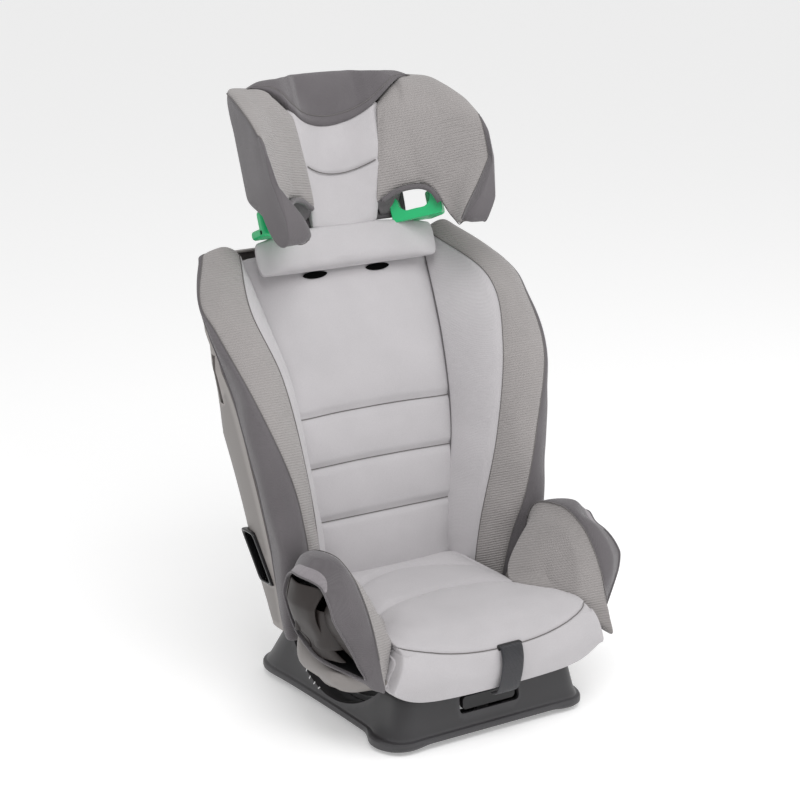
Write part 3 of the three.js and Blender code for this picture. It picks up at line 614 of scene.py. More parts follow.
def side_wing(side):
    """Torso wing: light inner panel, ribbed front band and dark outer face; its rear tucks into the shell."""
    label = LABELS[side]
    spans = (12, 18, 16, 4, 6, 4)
    rings = []
    for t in 1 - (1 - np.linspace(0, 1, 66)) ** 1.25:
        p, a, b, g, r = (wing_edge(c, t) for c in (WING_ROOT, INNER_SEAM, OUTER_SEAM, BULGE, REAR_EDGE))
        crown = t**7
        middle = (a + b) / 2 + (0, -5 - 4 * crown, 2 + 9 * crown)
        half = shell_half(r[2])
        rim = np.array([min(r[0], half), r[1] - 1.5, r[2]])
        turn_in = np.array([half - 9, r[1] - 1.0, r[2]])
        inside = np.array([half - 12, r[1] + 8, r[2]])
        under = np.array([p[0] + 4, p[1] + 14, p[2] - 2])
        face = [p, a, middle, b, g, rim]
        panel = along(face, np.linspace(0, 0.2, spans[0], endpoint=False))
        band = along(face, np.linspace(0.2, 0.6, spans[1], endpoint=False))
        outer = along(face, np.linspace(0.6, 1.0, spans[2], endpoint=False))
        back = [lerp(u, v, k / n) for u, v, n in ((rim, turn_in, spans[3]), (turn_in, inside, 2),
                                                  (inside, under, spans[4]), (under, p, spans[5]))
                for k in range(n)]
        rings.append(np.vstack([panel, band, outer, back]))
    rings = domed(np.array(rings), 4, 11, 5)
    front, seam_b, seam_c = spans[0], spans[0] + spans[1], sum(spans[:3])

    def zone(_, c):
        return 0 if c < front else 1 if c < seam_b else 2

    wing = loft("side_wing_" + label + "_cover", mirrored(rings, side),
                ["fabric_light", "fabric_mid", "fabric_dark"], zone)
    pad(wing, rings, lambda _, c: c in (0, front, seam_b) or c >= seam_c, 6)
    rows, cols = rings.shape[:2]
    lines = [[r * cols + c for r in range(5, rows - 4)] for c in (front, seam_b)]
    return wing, lines, [[r * cols + seam_c - 1 for r in range(5, rows - 3)]]


# ------------------------------------------------------------------ back pad
BACK_SEAMS = (252.0, 326.0, 393.0)


def back_pad():
    """Back pad with three sewn seams across it."""
    heights = np.linspace(158, 600, 104)
    for seam in BACK_SEAMS:
        heights[np.argmin(abs(heights - seam))] = seam
    across = np.sin(np.linspace(-math.pi / 2, math.pi / 2, 41))
    rings = []
    for z in heights:
        half = edge_at(PAD_EDGE, z, 0) + 4 - 16 * ease((250 - z) / 60)
        edge = edge_at(PAD_EDGE, z, 1)
        x = across * half
        y = lerp(back_y(z) + 2, edge, abs(across) ** 2.2) + 6 * abs(across) ** 12
        face = np.stack([x, y, np.full_like(x, z)], axis=1)
        rear_y = max(back_y(z) + 17, edge + 6)
        rear = np.array([(share * half, rear_y, z) for share in np.linspace(0.985, -0.985, 12)])
        rings.append(np.vstack([face, rear]))
    rings = domed(rings, 3, 4, 3)
    rows, cols = rings.shape[:2]
    obj = loft("back_pad_cover", rings, ["fabric_light"])
    seam_rows = [3 + int(np.argmin(abs(heights - seam))) for seam in BACK_SEAMS]
    pad(obj, rings, lambda r, c: c < 2 or c > 38 or r in seam_rows or r < 3 or r > rows - 4, 5)
    return obj, [[r * cols + c for c in range(1, 40)] for r in seam_rows], []


# ------------------------------------------------------------------ cushion with apron
CUSHION_PROFILE = [(60, 176), (22, 172.5), (-40, 173), (-100, 174), (-160, 174), (-190, 172), (-209, 166),
                   (-219, 156), (-224, 144), (-225, 126), (-221, 104), (-214, 88), (-206, 87), (-203, 100),
                   (-203, 130), (-201, 149), (-120, 150), (-20, 150), (50, 150), (57, 158)]


def seam_height(x):
    """Height of the front seam of the cushion at distance x from the middle."""
    return 147 + 22 * np.minimum((abs(x) / 143) ** 2.2, 1.12)


def cushion():
    """Cushion whose front seam turns into the apron."""
    fine = along(CUSHION_PROFILE, np.linspace(0, 1, 1200), closed=True)
    length = np.concatenate([[0], np.cumsum(np.linalg.norm(np.diff(fine, axis=0), axis=1))])
    nose = np.where((fine[:, 0] < -200) & (fine[:, 1] > 100) & (np.arange(1200) < 700))[0]
    hem_at = length[np.argmin(abs(fine[:, 0] + 214) + abs(fine[:, 1] - 88))]
    top, apron, hidden = 84, 40, 40
    rings = []
    stations = np.sin(np.linspace(-1.35, 1.35, 61)) / math.sin(1.35)
    for u in stations:
        seam_at = length[nose[np.argmin(abs(fine[nose, 1] - seam_height(u * 146)))]]
        stops = np.concatenate([np.linspace(0, seam_at, top, endpoint=False),
                                np.linspace(seam_at, hem_at, apron, endpoint=False),
                                np.linspace(hem_at, length[-1], hidden, endpoint=False)])
        y = np.interp(stops, length, fine[:, 0])
        z = np.interp(stops, length, fine[:, 1])
        edge = abs(u) ** 10
        x = u * cushion_half(y, z)
        z = z - 5 * edge * (z > 160) + 24 * abs(u) ** 7 * np.clip((110 - z) / 22, 0, 1)
        rings.append(np.stack([x, front_curve(x, y) + 4 * edge * (y < -200), z], axis=1))
    rings = domed(rings, 3, 3, 3)
    rows, cols = rings.shape[:2]
    obj = loft("seat_cushion_cover", rings, ["fabric_light"])

    def is_held(r, c):
        in_channel = channel_distance(rings[r, c]) < 2.5 and rings[r, c, 2] > 160
        return c in (0, top) or c >= top + apron - 1 or r < 4 or r > rows - 5 or in_channel

    pad(obj, rings, is_held, 6)
    return obj, [[r * cols + top for r in range(3, rows - 3)]], []


def channel_distance(point):
    """Distance of a point on the cushion top from the nearer of its two sewn channels."""
    x, y = point[0], point[1]
    rear = y - (40 - 14 * (x / 60) ** 2)
    front = y - (-56 - 24 * (x / 110) ** 2)
    return min(abs(rear), abs(front))


def cut_channels(obj):
    """Presses the two sewn channels into the top of the cushion."""
    points = coords(obj) / MM - SHIFT
    upper = (normals(obj)[:, 2] > 0.5) & (points[:, 2] > 150)
    sink(obj, [4.2 * math.exp(-((channel_distance(p) / 5.0) ** 2)) if up else 0.0
               for p, up in zip(points, upper)])


# ------------------------------------------------------------------ arms
ARM_PROFILE = [(-210, 117), (-203, 141), (-193, 168), (-182, 196), (-164, 225), (-138, 251), (-102, 267),
               (-72, 266), (-50, 255), (-36, 231), (-34, 205), (-40, 182), (-58, 163), (-88, 148), (-130, 133),
               (-174, 121)]
# Edge of the cup recess on the outer side, in the same turn as the profile
RECESS = [(-173, 126), (-172, 145), (-171, 168), (-167, 194), (-156, 219), (-134, 237), (-106, 245), (-82, 249),
          (-61, 246), (-45, 233), (-39, 209), (-45, 184.5), (-62, 167.5), (-91, 153), (-127, 139), (-155, 130)]
ARM_MIDDLE = np.array([-112.0, 188.0])
RECESS_MIDDLE = np.array([-112.0, 192.0])


ARM_RIDGE = 184.0  # X of the seam along the top of the arm
ARM_LEAST = 191.0  # the outer side never comes further in than this
PATCHES = []


def arm_inner(y, z):
    """X of the inner side of an arm, which runs along the cushion and leans out to the ridge."""
    plain_y = y - 10 * np.clip((-90 - y) / 110, 0, 1)
    rise = np.clip((z - 170) / 94, 0, 1)
    return lerp(cushion_half(plain_y, z) + 2, ARM_RIDGE, rise**0.8)


def arm_outer(y, z):
    """X of the outer side of an arm, fullest beside the cup holder."""
    front = np.maximum(0, -117 - y) ** 2
    rear = np.maximum(0, y + 90) ** 2
    high = np.maximum(0, z - 185) ** 2 * (0.0075 - 0.0045 * ease((y + 124) / 44))
    low = np.maximum(0, 212 - z) * (0.43 - 0.06 * ease((y + 150) / 50))
    lip = 0.3 * np.maximum(0, 158 - z) * ease((y + 150) / 50)
    return np.maximum(250 - 0.0066 * front - 0.006 * rear - high - low + lip, ARM_LEAST)


def cup_room(y, z):
    """1 where the cup holder needs depth behind the recess floor, 0 elsewhere."""
    return ease((52 - abs(y + 109)) / 10 + 0.5) * ease((42 - abs(z - 180)) / 10 + 0.5)


def arm(side):
    """Padded arm: inner face up to the ridge, outer face down to the edge of the cup recess, then its floor."""
    label = LABELS[side]
    cols = 112
    profile = even(ARM_PROFILE, cols, closed=True)
    recess = even(RECESS, cols, closed=True)
    rings = []
    fuller = profile + np.column_stack([25 * ease((profile[:, 0] + 100) / 60), np.zeros(cols)])
    for share in np.linspace(0.06, 1.0, 16):
        p = ARM_MIDDLE + (fuller - ARM_MIDDLE) * share
        ridge = 1 - ease((1 - share) / 0.32)
        inner = arm_inner(p[:, 0], p[:, 1])
        rings.append(np.column_stack([lerp(inner, ARM_RIDGE, ridge) - 3 * (1 - share**2), p]))
    seam_row = len(rings) - 1
    reach = np.linalg.norm(profile - ARM_MIDDLE, axis=1, keepdims=True)
    for w in np.linspace(0.06, 1.0, 22):
        swell = 2.5 * math.sin(math.pi * min(1, w / 0.9)) - 1.5
        p = ARM_MIDDLE + (lerp(fuller, profile, w) - ARM_MIDDLE) * (1 + swell / reach)
        p[:, 0] += 26 * math.sqrt(w) * ease((-100 - p[:, 0]) / 100) * ease((215 - p[:, 1]) / 80)
        q = lerp(p, recess, ease((w - 0.6) / 0.4))
        rings.append(np.column_stack([lerp(ARM_RIDGE, arm_outer(q[:, 0], q[:, 1]) - 1, w**0.9), q]))
    edge_row = len(rings) - 1
    for share, drop in ((0.985, 1.5), (0.974, 5), (0.968, 14), (0.962, 26)):
        q = RECESS_MIDDLE + (recess - RECESS_MIDDLE) * share
        rings.append(np.column_stack([arm_outer(q[:, 0], q[:, 1]) - drop, q]))
    for share in np.linspace(0.9, 0.05, 10):
        q = RECESS_MIDDLE + (recess - RECESS_MIDDLE) * share
        depth = arm_outer(q[:, 0], q[:, 1]) - 28
        rings.append(np.column_stack([lerp(np.minimum(depth, 222), 170, cup_room(q[:, 0], q[:, 1])), q]))
    rings = np.array(rings)

    def zone(r, c):
        if r < seam_row:
            return 0
        return 1 if r <= edge_row + 1 else 2

    obj = loft("arm_" + label + "_cover", mirrored(rings, side),
               ["fabric_mid", "fabric_dark", "black_plastic"], zone)
    pad(obj, rings, lambda r, c: r == seam_row or r >= edge_row - 1 or r < 1 or rings[r, c, 2] < 127, 4)
    edge = rings[edge_row]
    patch_cols = np.where((edge[:, 2] > 222) & (edge[:, 1] > -134) & (edge[:, 1] < -44))[0]
    PATCHES.append((obj, label, cols, edge_row, patch_cols))
    rim = [edge_row * cols + c for c in range(cols)] + [edge_row * cols]
    return obj, [[seam_row * cols + c for c in range(10, 62)]], [rim]


def arm_patches():
    """A light woven patch on each arm, above the cup recess, laid over the finished cover."""
    for obj, label, cols, edge_row, patch_cols in PATCHES:
        place = (coords(obj) / MM - SHIFT)[:-2].reshape(-1, cols, 3)
        out = normals(obj)[:-2].reshape(-1, cols, 3)
        grid, under = [], []
        middle, half = (len(patch_cols) - 1) / 2, (len(patch_cols) + 1) / 2
        for k, c in enumerate(patch_cols):
            reach = 4.4 * math.sqrt(max(1 - ((k - middle) / half) ** 2, 0.0))
            rows = edge_row - np.linspace(0.2, reach + 0.2, 10)
            low = np.floor(rows).astype(int)
            share = (rows - low)[:, None]
            spot = lerp(place[low, c], place[low + 1, c], share)
            way = lerp(out[low, c], out[low + 1, c], share)
            rise = (1.1 * np.sin(np.linspace(0.25, math.pi - 0.25, 10)))[:, None]
            grid.append(spot + way * rise)
            under.append(spot - way * 1.2)
        patch = thick_sheet("arm_" + label + "_patch", grid, under, ["patch"])
        finish_piece(smooth(patch), "seat", "fabric_dark")


# ------------------------------------------------------------------ cup holders
HINGE = (230.0, -75.0)
CUP_AT = (203.0, -117.0)
GAP_LINE = [(140, -158), (146, -153), (156, -145), (175, -135), (198, -128), (217, -127), (244, -132)]
TURN_ROW = 7


def recess_span(z):
    """Front and rear Y of the cup recess at height z."""
    front = even(RECESS[:TURN_ROW], 80)
    rear = even([RECESS[0]] + RECESS[:TURN_ROW - 1:-1], 160)
    return np.interp(z, front[:, 1], front[:, 0]), np.interp(z, rear[:, 1], rear[:, 0])


def recess_face(z_low, z_high, span, drop, rows=34, cols=14):
    """Grid on the recess face; span(z) gives its Y limits and drop(share, z) its depth."""
    grid = []
    for z in np.linspace(z_low, z_high, rows):
        y0, y1 = span(z)
        share = np.linspace(0, 1, cols)
        y = lerp(y0, max(y1, y0 + 1.0), share)
        grid.append(np.column_stack([arm_outer(y, z) - drop(share, z), y, np.full(cols, z)]))
    return np.array(grid)


def gap_at(z):
    """Y of the gap in front of the swinging panel at height z."""
    return float(np.interp(z, *np.array(GAP_LINE).T))


def leaf_rear(z):
    """Rear edge of the swinging panel: behind its hinge, except low down where it must clear the arm."""
    return lerp(-98.0, -58.5, float(ease((z - 166) / 10)))


def plate(name, grid, side, body, node_name):
    outer = mirrored(grid, side)
    obj = thick_sheet(name, outer, outer - np.array([3.0 * side, 0, 0]), ["cup_plastic"])
    return finish_piece(smooth(obj), body, "cup_plastic", node_name)


def cup_pocket(side):
    """Fixed lining: the strip in front of the gap and the smooth cheek behind the hinge."""
    label = LABELS[side]
    strip = recess_face(138, 240, lambda z: (recess_span(z)[0] + 2.0, gap_at(z) - 5.0),
                        lambda share, z: 3 + 13 * share)
    cheek = recess_face(152, 240, lambda z: (leaf_rear(z) + 2.4, recess_span(z)[1] - 2.4),
                        lambda share, z: 4 + 2.5 * share**4)
    plate("cup_pocket_" + label + "_strip", strip, side, "seat", "cup_pocket_" + label)
    plate("cup_pocket_" + label + "_cheek", cheek, side, "seat", "cup_pocket_" + label)


def cup_holder(side):
    """The swinging panel with the cup behind it."""
    label = LABELS[side]
    body = "cup_holder_" + label
    panel = recess_face(144, 239, lambda z: (gap_at(z) + 5.0, min(leaf_rear(z), recess_span(z)[1] - 1.8)),
                        lambda share, z: 4 + 5 * np.exp(-share / 0.06), rows=38, cols=20)
    plate(body + "_panel", panel, side, body, body)
    profile = [(0.5, 158), (22, 158), (25.4, 159), (26.6, 162), (27, 170), (27, 196), (27.2, 208),
               (26.6, 211.4), (25.6, 212), (24.6, 211.2), (24.2, 207), (24.2, 165), (22.8, 162.5),
               (20, 161.4), (0.5, 161)]
    cup = loft(body + "_cup", turned(CUP_AT[0] * side, CUP_AT[1], profile), ["cup_plastic"])
    finish_piece(smooth(cup), body, "cup_plastic", body)
    barrel = [(3.6, 171.4), (4.6, 172.4), (4.8, 176), (4.8, 208), (4.6, 211.6), (3.6, 212.8)]
    tip = [(1.4, 213.4), (2, 214), (2, 217.4), (1.4, 218)]
    for name, profile, rides, look, replaced in (
            (body + "_barrel", barrel, body, "cup_plastic", body),
            ("cup_pin_" + label + "_tip", tip, "seat", "steel", "cup_pin_" + label)):
        rings = turned(HINGE[0] * side, HINGE[1], profile)
        finish_piece(loft(name, rings, [look]), rides, look, replaced)


# ------------------------------------------------------------------ headrest
HEAD_TOP = [(-4, 258), (20, 261), (36, 258), (70, 243), (114, 208), (138, 178), (152, 147), (158, 112)]
# Lower edge of each wing's inner and outer face: the arch over the belt guide, then down to the tip and
# up the front
HEAD_LOW = [(10, 60), (28, 61), (38, 67), (45, 81), (55, 92), (70, 92), (80, 81), (86, 58), (94, 35),
            (111, 19), (136, 26), (155, 56), (158, 106)]
OUTER_LOW = [(-4, 60), (6, 92), (30, 96), (72, 96), (90, 89), (99, 62), (107, 34), (119, 19), (136, 25),
             (155, 55), (158, 106)]
WING_ROWS, FRONT_SEAM_ROW = 64, 54
WING_INNER = [(50, 44), (66, 50), (84, 60), (104, 72), (130, 92), (152, 116), (168, 138), (174, 154)]
WING_OUTER = [(70, 7), (96, 8), (122, 12), (144, 26), (158, 48), (168, 84), (175, 120), (178, 151)]
CAP_LOW = [(-27, 198), (0, 195), (27, 198), (42, 202), (57, 209), (71, 219), (84, 230), (97, 239), (110, 246),
           (124, 250), (138, 253), (150, 270), (200, 300)]


def cap_low(x):
    """Lower edge of the cap at distance x from the middle."""
    fine = along(CAP_LOW, np.linspace(0, 1, 400))
    return np.interp(abs(x), fine[:, 0], fine[:, 1])


def level_at(curve, n):
    """Height of a headrest outline at distance n out of the backrest."""
    fine = along(curve, np.linspace(0, 1, 400))
    return np.interp(n, np.maximum.accumulate(fine[:, 0]), fine[:, 1])


LOW_CURL, TOP_CURL = 0.62, 0.2  # how strongly a wing curls in along its lower and its top edge


def settle(x, n, s, curl=LOW_CURL):
    """Bends a wing: its root follows the centre panel and its lower front curls in towards the head."""
    root = ease((112 - x) / 62)
    low = np.clip((s - 60) / 150, 0, 1)
    x = x + root * lerp(-3, 18, low)
    n = n - root * ease((n - 20) / 20) * lerp(15, -13, low**0.7)
    return x - curl * np.maximum(0, 108 - s) * ease((n - 80) / 66), n


def headrest_wing(side):
    """Wing from the centre panel round to its front edge, arched over the belt guide."""
    label = LABELS[side]
    counts = (24, 10, 18, 8)
    rings = []
    for t in np.linspace(0, 1, 200):
        xi, ni = along(WING_INNER, t)
        xo, no = along(WING_OUTER, t)
        top_i = min(level_at(HEAD_TOP, ni), cap_low(xi + 16 * ease((112 - xi) / 62)) - 2)
        top_o = min(level_at(HEAD_TOP, no), cap_low(xo) - 2)
        low_o = lerp(60, level_at(OUTER_LOW, no), float(ease((xo - 96) / 16)))
        corners = [[xi, ni, level_at(HEAD_LOW, ni)], [xi, ni, top_i], [xo, no, top_o], [xo, no, low_o]]
        for low, high in ((0, 1), (3, 2)):
            if corners[high][2] - corners[low][2] < 5:
                middle = (corners[high][2] + corners[low][2]) / 2
                corners[low][2], corners[high][2] = middle - 2.5, middle + 2.5
        ring, starts = rounded(corners, 12, counts)
        x, n, s = ring[:, 0], ring[:, 1], ring[:, 2]
        face = np.clip((s - corners[0][2]) / (corners[1][2] - corners[0][2]), 0, 1)
        near_inner = np.arange(len(ring)) <= starts[1]
        n = n + near_inner * 4 * np.sin(math.pi * face) * math.sin(math.pi * min(1, 0.15 + t))
        curl = np.interp(np.arange(len(ring)), (starts[1], starts[2] - 1, starts[3], len(ring) - 1),
                         (LOW_CURL, TOP_CURL, TOP_CURL, LOW_CURL))
        x, n = settle(x, n, s, curl)
        rings.append(slid(x, n, s))
    rings = domed(front_seam_rows(np.array(rings), counts[0]), 0.5, 5, 4)
    rows, cols = rings.shape[:2]
    top_seam, low_seam, front_seam = starts[2] - 1, cols - 2, 4 + FRONT_SEAM_ROW

    def zone(r, c):
        return 0 if r < front_seam and (c < top_seam or c >= low_seam) else 1

    obj = loft("headrest_wing_" + label + "_cover", mirrored(rings, side), ["fabric_mid", "fabric_dark"], zone)
    pad(obj, rings, lambda r, c: c in (top_seam, low_seam) or r in (front_seam, rows - 4) or r < 6
        or c > top_seam + 6, 5)
    lines = [[r * cols + top_seam for r in range(24, front_seam)]
             + [front_seam * cols + c for c in range(top_seam, -1, -1)],
             [r * cols + low_seam for r in range(32, front_seam + 1)]]
    return obj, lines, []


def front_seam_rows(fine, inner_cols):
    """Resamples wing rings so that one row follows the curved seam behind the front edge."""
    count, cols = fine.shape[:2]
    face = np.minimum(np.arange(cols) / inner_cols, 1.0)
    face[-8:] = np.linspace(1, 0, 8)
    seam_at = 0.95 - 0.19 * (1 - face) ** 3
    out = np.empty((WING_ROWS, cols, 3))
    for r in range(WING_ROWS):
        past = (r - FRONT_SEAM_ROW) / (WING_ROWS - 1 - FRONT_SEAM_ROW)
        t = seam_at * (r / FRONT_SEAM_ROW) if past <= 0 else lerp(seam_at, 1.0, past)
        place = t * (count - 1)
        k = np.minimum(place.astype(int), count - 2)
        share = (place - k)[:, None]
        out[r] = lerp(fine[k, np.arange(cols)], fine[k + 1, np.arange(cols)], share)
    return out


def panel_depth(x, s=128.0):
    """How far the headrest's centre panel stands forward; its sides rise towards the top."""
    hollow = 21 * np.clip((s - 58) / 75, 0, 1) ** 0.7
    return 27 + hollow * np.minimum(abs(x) / 56, 1.1) ** 2


def smile_level(x):
    """Height of the curved quilting line across the centre panel."""
    return 128 + 11 * (x / 56) ** 2


def headrest_centre():
    """Light centre panel of the headrest."""
    levels = np.linspace(58, 219, 58)
    across = np.sin(np.linspace(-math.pi / 2, math.pi / 2, 33))
    rings = []
    for s in levels:
        half = 52 + (s - 59) * 0.145
        x = across * half
        n = panel_depth(x, s) - 4 * abs(across) ** 14
        n = n - 15 * ease((s - cap_low(x) - 1) / 7)
        face = slid(x, n, s)
        rear = slid(np.linspace(half * 0.97, -half * 0.97, 9), 10, s)
        rings.append(np.vstack([face, rear]))
    rings = domed(rings, 4, 3, 3)
    cols = rings.shape[1]
    obj = loft("headrest_centre_pad", rings, ["fabric_light"])
    smile = [(3 + int(np.argmin(abs(levels - smile_level(across[c] * 60))))) * cols + c for c in range(2, 31)]
    return pad(obj, rings, lambda r, c: c < 2 or c > 30 or r < 4, 4, smile)


def smile_seam(obj):
    """Presses the quilting line into the centre panel and lays its cord."""
    points = coords(obj) / MM - SHIFT
    s = (points[:, 1] - SLIDE_Y) * SIN_LEAN + (points[:, 2] - SLIDE_Z) * COS_LEAN
    n = -(points[:, 1] - SLIDE_Y) * COS_LEAN + (points[:, 2] - SLIDE_Z) * SIN_LEAN
    sink(obj, 2.2 * np.exp(-(((s - smile_level(points[:, 0])) / 3.0) ** 2)) * (n > 20))
    x = np.linspace(-55, 55, 40)
    path = to_frame(slid(x, panel_depth(x) + 0.8, smile_level(x)))
    # The seam look is dark: thread plus painted shade of the quilting groove
    cord("headrest_centre_seam", [path], 0.8, "seam", "headrest")


def headrest_cap():
    """Dark cap over the top of the headrest, dipping in the middle."""
    counts = (12, 4, 8, 3)
    rings = []
    for x in np.linspace(-130, 130, 78):
        low, reach = cap_low(x), abs(x)
        deep = panel_depth(min(reach, 60.0), 200.0) + 12 * ease((reach - 58) / 30) - 6 * ease((reach - 92) / 32)
        brow = max(deep, 41.0)
        top = 271 - 0.36 * (brow - 38) - 14 * (reach / 130) ** 8
        corners = [(x, deep + 4, low), (x, brow, top), (x, 1, top - 1), (x, 1, low)]
        rings.append(slid(*rounded(corners, 9, counts)[0].T))
    rings = domed(rings, 5, 5, 4)
    rows, cols = rings.shape[:2]
    obj = loft("headrest_cap_cover", rings, ["fabric_dark"])
    pad(obj, rings, lambda r, c: c < 2 or c > counts[0] + 9 or r < 5 or r > rows - 6, 4)
    return obj, [[r * cols + 1 for r in range(4, rows - 4)]], []


def headrest_back():
    """Rear cover between the wings with the raised crown that carries the stem."""
    counts = (20, 3, 36, 3)
    rings = []
    for x in np.linspace(-105, 105, 64):
        deep = 10 + 6 * ease((abs(x) - 84) / 30)
        corners = [(x, deep + 5, 60), (x, deep + 5, 257), (x, deep - 3, 257), (x, deep - 3, 60)]
        ring, _ = rounded(corners, 4, counts)
        n, s = ring[:, 1], ring[:, 2]
        crown = ease((78 - abs(x)) / 8) * ease((s - 202) / 8) * ease((262 - s) / 8)
        n = np.where(n < deep, lerp(n, -27.4, crown), n)
        rings.append(slid(ring[:, 0], n, s))
    return smooth(loft("headrest_back_cover", domed(rings, 3, 3, 3), ["fabric_dark"]))


def neck_pad():
    """Flat roll under the headrest that covers the top of the harness slots."""
    counts = (4, 12, 4, 8)
    rings = []
    for x in np.linspace(-138, 138, 72):
        u = abs(x) / 138
        rear = 6 + 6 * u**2.2
        front = 25 - 5 * u**4
        low, high = -1 + 1.5 * u**6, 62 - 14 * u**2.6
        corners = [(x, rear, low), (x, front, low), (x, front, high), (x, rear, high)]
        rings.append(slid(*rounded(corners, 8.5, counts)[0].T))
    rings = domed(rings, 7, 7, 5)
    rear_start = sum(counts[:3]) + 12
    obj = loft("neck_pad_cover", rings, ["fabric_light"])
    return pad(obj, rings, lambda r, c: c >= rear_start or r < 3 or r > len(rings) - 4, 4)


def harness_slots():
    """Two slot mouths under the neck pad where the shoulder straps come through, lined near-black without
    reflection as painted shadow inside the openings.
    """
    mouth = [(-20, 0), (-12, 3.6), (0, 4.6), (12, 3.6), (20, 0), (12, -4.2), (0, -5.4), (-12, -4.2)]
    ring = even(mouth, 40, closed=True)
    for side, label in LABELS.items():
        rings = [slid(51 * side + ring[:, 0] * scale, n, -4.0 + ring[:, 1] * scale)
                 for scale, n in ((1.0, -0.5), (1.0, 3.4), (0.94, 4.6), (0.84, 4.4), (0.8, 3.8))]
        obj = loft("harness_slot_" + label, rings, ["slot_shadow"])
        finish_piece(smooth(obj), "headrest", "black_plastic", "harness_guide")


def belt_guide(side):
    """Green guide: a bar with a rounded upright at each end, under the wing."""
    label = LABELS[side]
    outline = [(4, 50), (76, 50), (77, 60), (77, 84), (72, 90), (66, 88), (65, 80), (62, 70), (54, 63),
               (24, 63), (16, 69), (15, 80), (12, 86), (6, 85), (3, 78)]
    dense = rounded(outline, 4, [2] * 15, 3)[0]
    rings = []
    root = math.sqrt(0.5)
    inward = (dense - dense.mean(0)) / np.linalg.norm(dense - dense.mean(0), axis=1, keepdims=True)
    for depth, shrink in ((0, 1.1), (0.5, 0.4), (1.4, 0), (10.6, 0), (11.5, 0.4), (12, 1.1)):
        p = dense - inward * shrink
        n = 18 + p[:, 0] * root + (depth - 6) * root
        x = 78 + p[:, 0] * root - (depth - 6) * root
        rings.append(slid(x, n, p[:, 1]))
    rings = mirrored(rings, side)
    rows, cols = rings.shape[:2]
    faces = tube_faces(rows, cols) + [tuple(range(cols)), tuple(range((rows - 1) * cols, rows * cols))]
    obj = mesh_object("belt_guide_" + label + "_hook", rings.reshape(-1, 3), faces, ["guide_green"])
    soft_edges(obj, 1.2, 3, 30)
    finish_piece(obj, "headrest", "guide_green", "belt_guide_" + label)
    for name, x0, n0, n1, s1 in (("tab", 112, 18, 55, 63), ("rib", 127, 42, 56, 86)):
        rings = []
        for x, shrink in ((x0, 0), (143, 0), (146, 1), (147.5, 3)):
            a, b, low, high = n0 + shrink, n1 - shrink, 50 + shrink, s1 - shrink
            ring, _ = rounded([(x, a, low), (x, b, low), (x, b, high), (x, a, high)], 5, (6, 3, 6, 3))
            rings.append(slid(*mirrored(ring, side).T))
        tab = loft("belt_guide_" + label + "_" + name, rings, ["guide_green"])
        finish_piece(soft_edges(tab, 0.8), "headrest", "guide_green", "belt_guide_" + label)


def guide_arch(side):
    """Dark fabric binding around the arch above the green guide."""
    path = []
    for t in np.linspace(0.06, 0.52, 40):
        x, n = along(WING_INNER, t)
        s = level_at(HEAD_LOW, n)
        x, n = settle(x, n, s)
        path.append(slid(x * side, n + 0.5, s - 1.5))
    cord("guide_arch_" + LABELS[side], [to_frame(path)], BINDING_RADIUS, "fabric_dark", "headrest")


# ------------------------------------------------------------------ shells
BELT_SLANT = 0.42  # how far the belt windows lean back for each mm of height


def seat_pan():
    """Pan under the cushion: circular underside, flared sides and a rolled rim below each arm."""
    rim_line = [(-202, 128), (-154, 131), (-120, 136), (-86, 143), (-50, 152), (-20, 156), (20, 150),
                (60, 140)]
    rings = []
    for y in np.linspace(-200, 59, 80):
        deep = ROCK_Z - math.sqrt(max(140.0**2 - (y - ROCK_Y) ** 2, 0)) if abs(y - ROCK_Y) < 116 else 112.0
        deep = min(deep, lerp(92, 106, float(np.clip((-150 - y) / 50, 0, 1))))
        rim = np.interp(y, *np.array(rim_line).T)
        shrink = lerp(1.0, 0.70, float(ease((y + 66) / 112)))
        wide = 222 * shrink - 52 * float(ease((-138 - y) / 54))
        half = [(0, deep), (90, deep), (130, deep + 3),
                (min(lerp(144, wide, 0.35), wide - 36), lerp(deep, 112, 0.25)),
                (wide - 24, 98 if deep < 90 else deep + 5), (wide - 6, 110), (wide, 120), (wide - 2, rim - 6),
                (wide - 9, rim), (wide - 17, rim - 4), (wide - 19, 118), (wide - 30, 116), (0, 116)]
        right = even(half, 40)
        left = right[::-1] * (-1, 1)
        ring = np.vstack([right, left[1:-1]])
        x, z = ring[:, 0], ring[:, 1]
        rings.append(np.column_stack([x, front_curve(x, np.full_like(x, y)), z]))
    return smooth(loft("seat_pan_moulding", domed(rings, 3, 3, 3), ["shell_plastic"]))


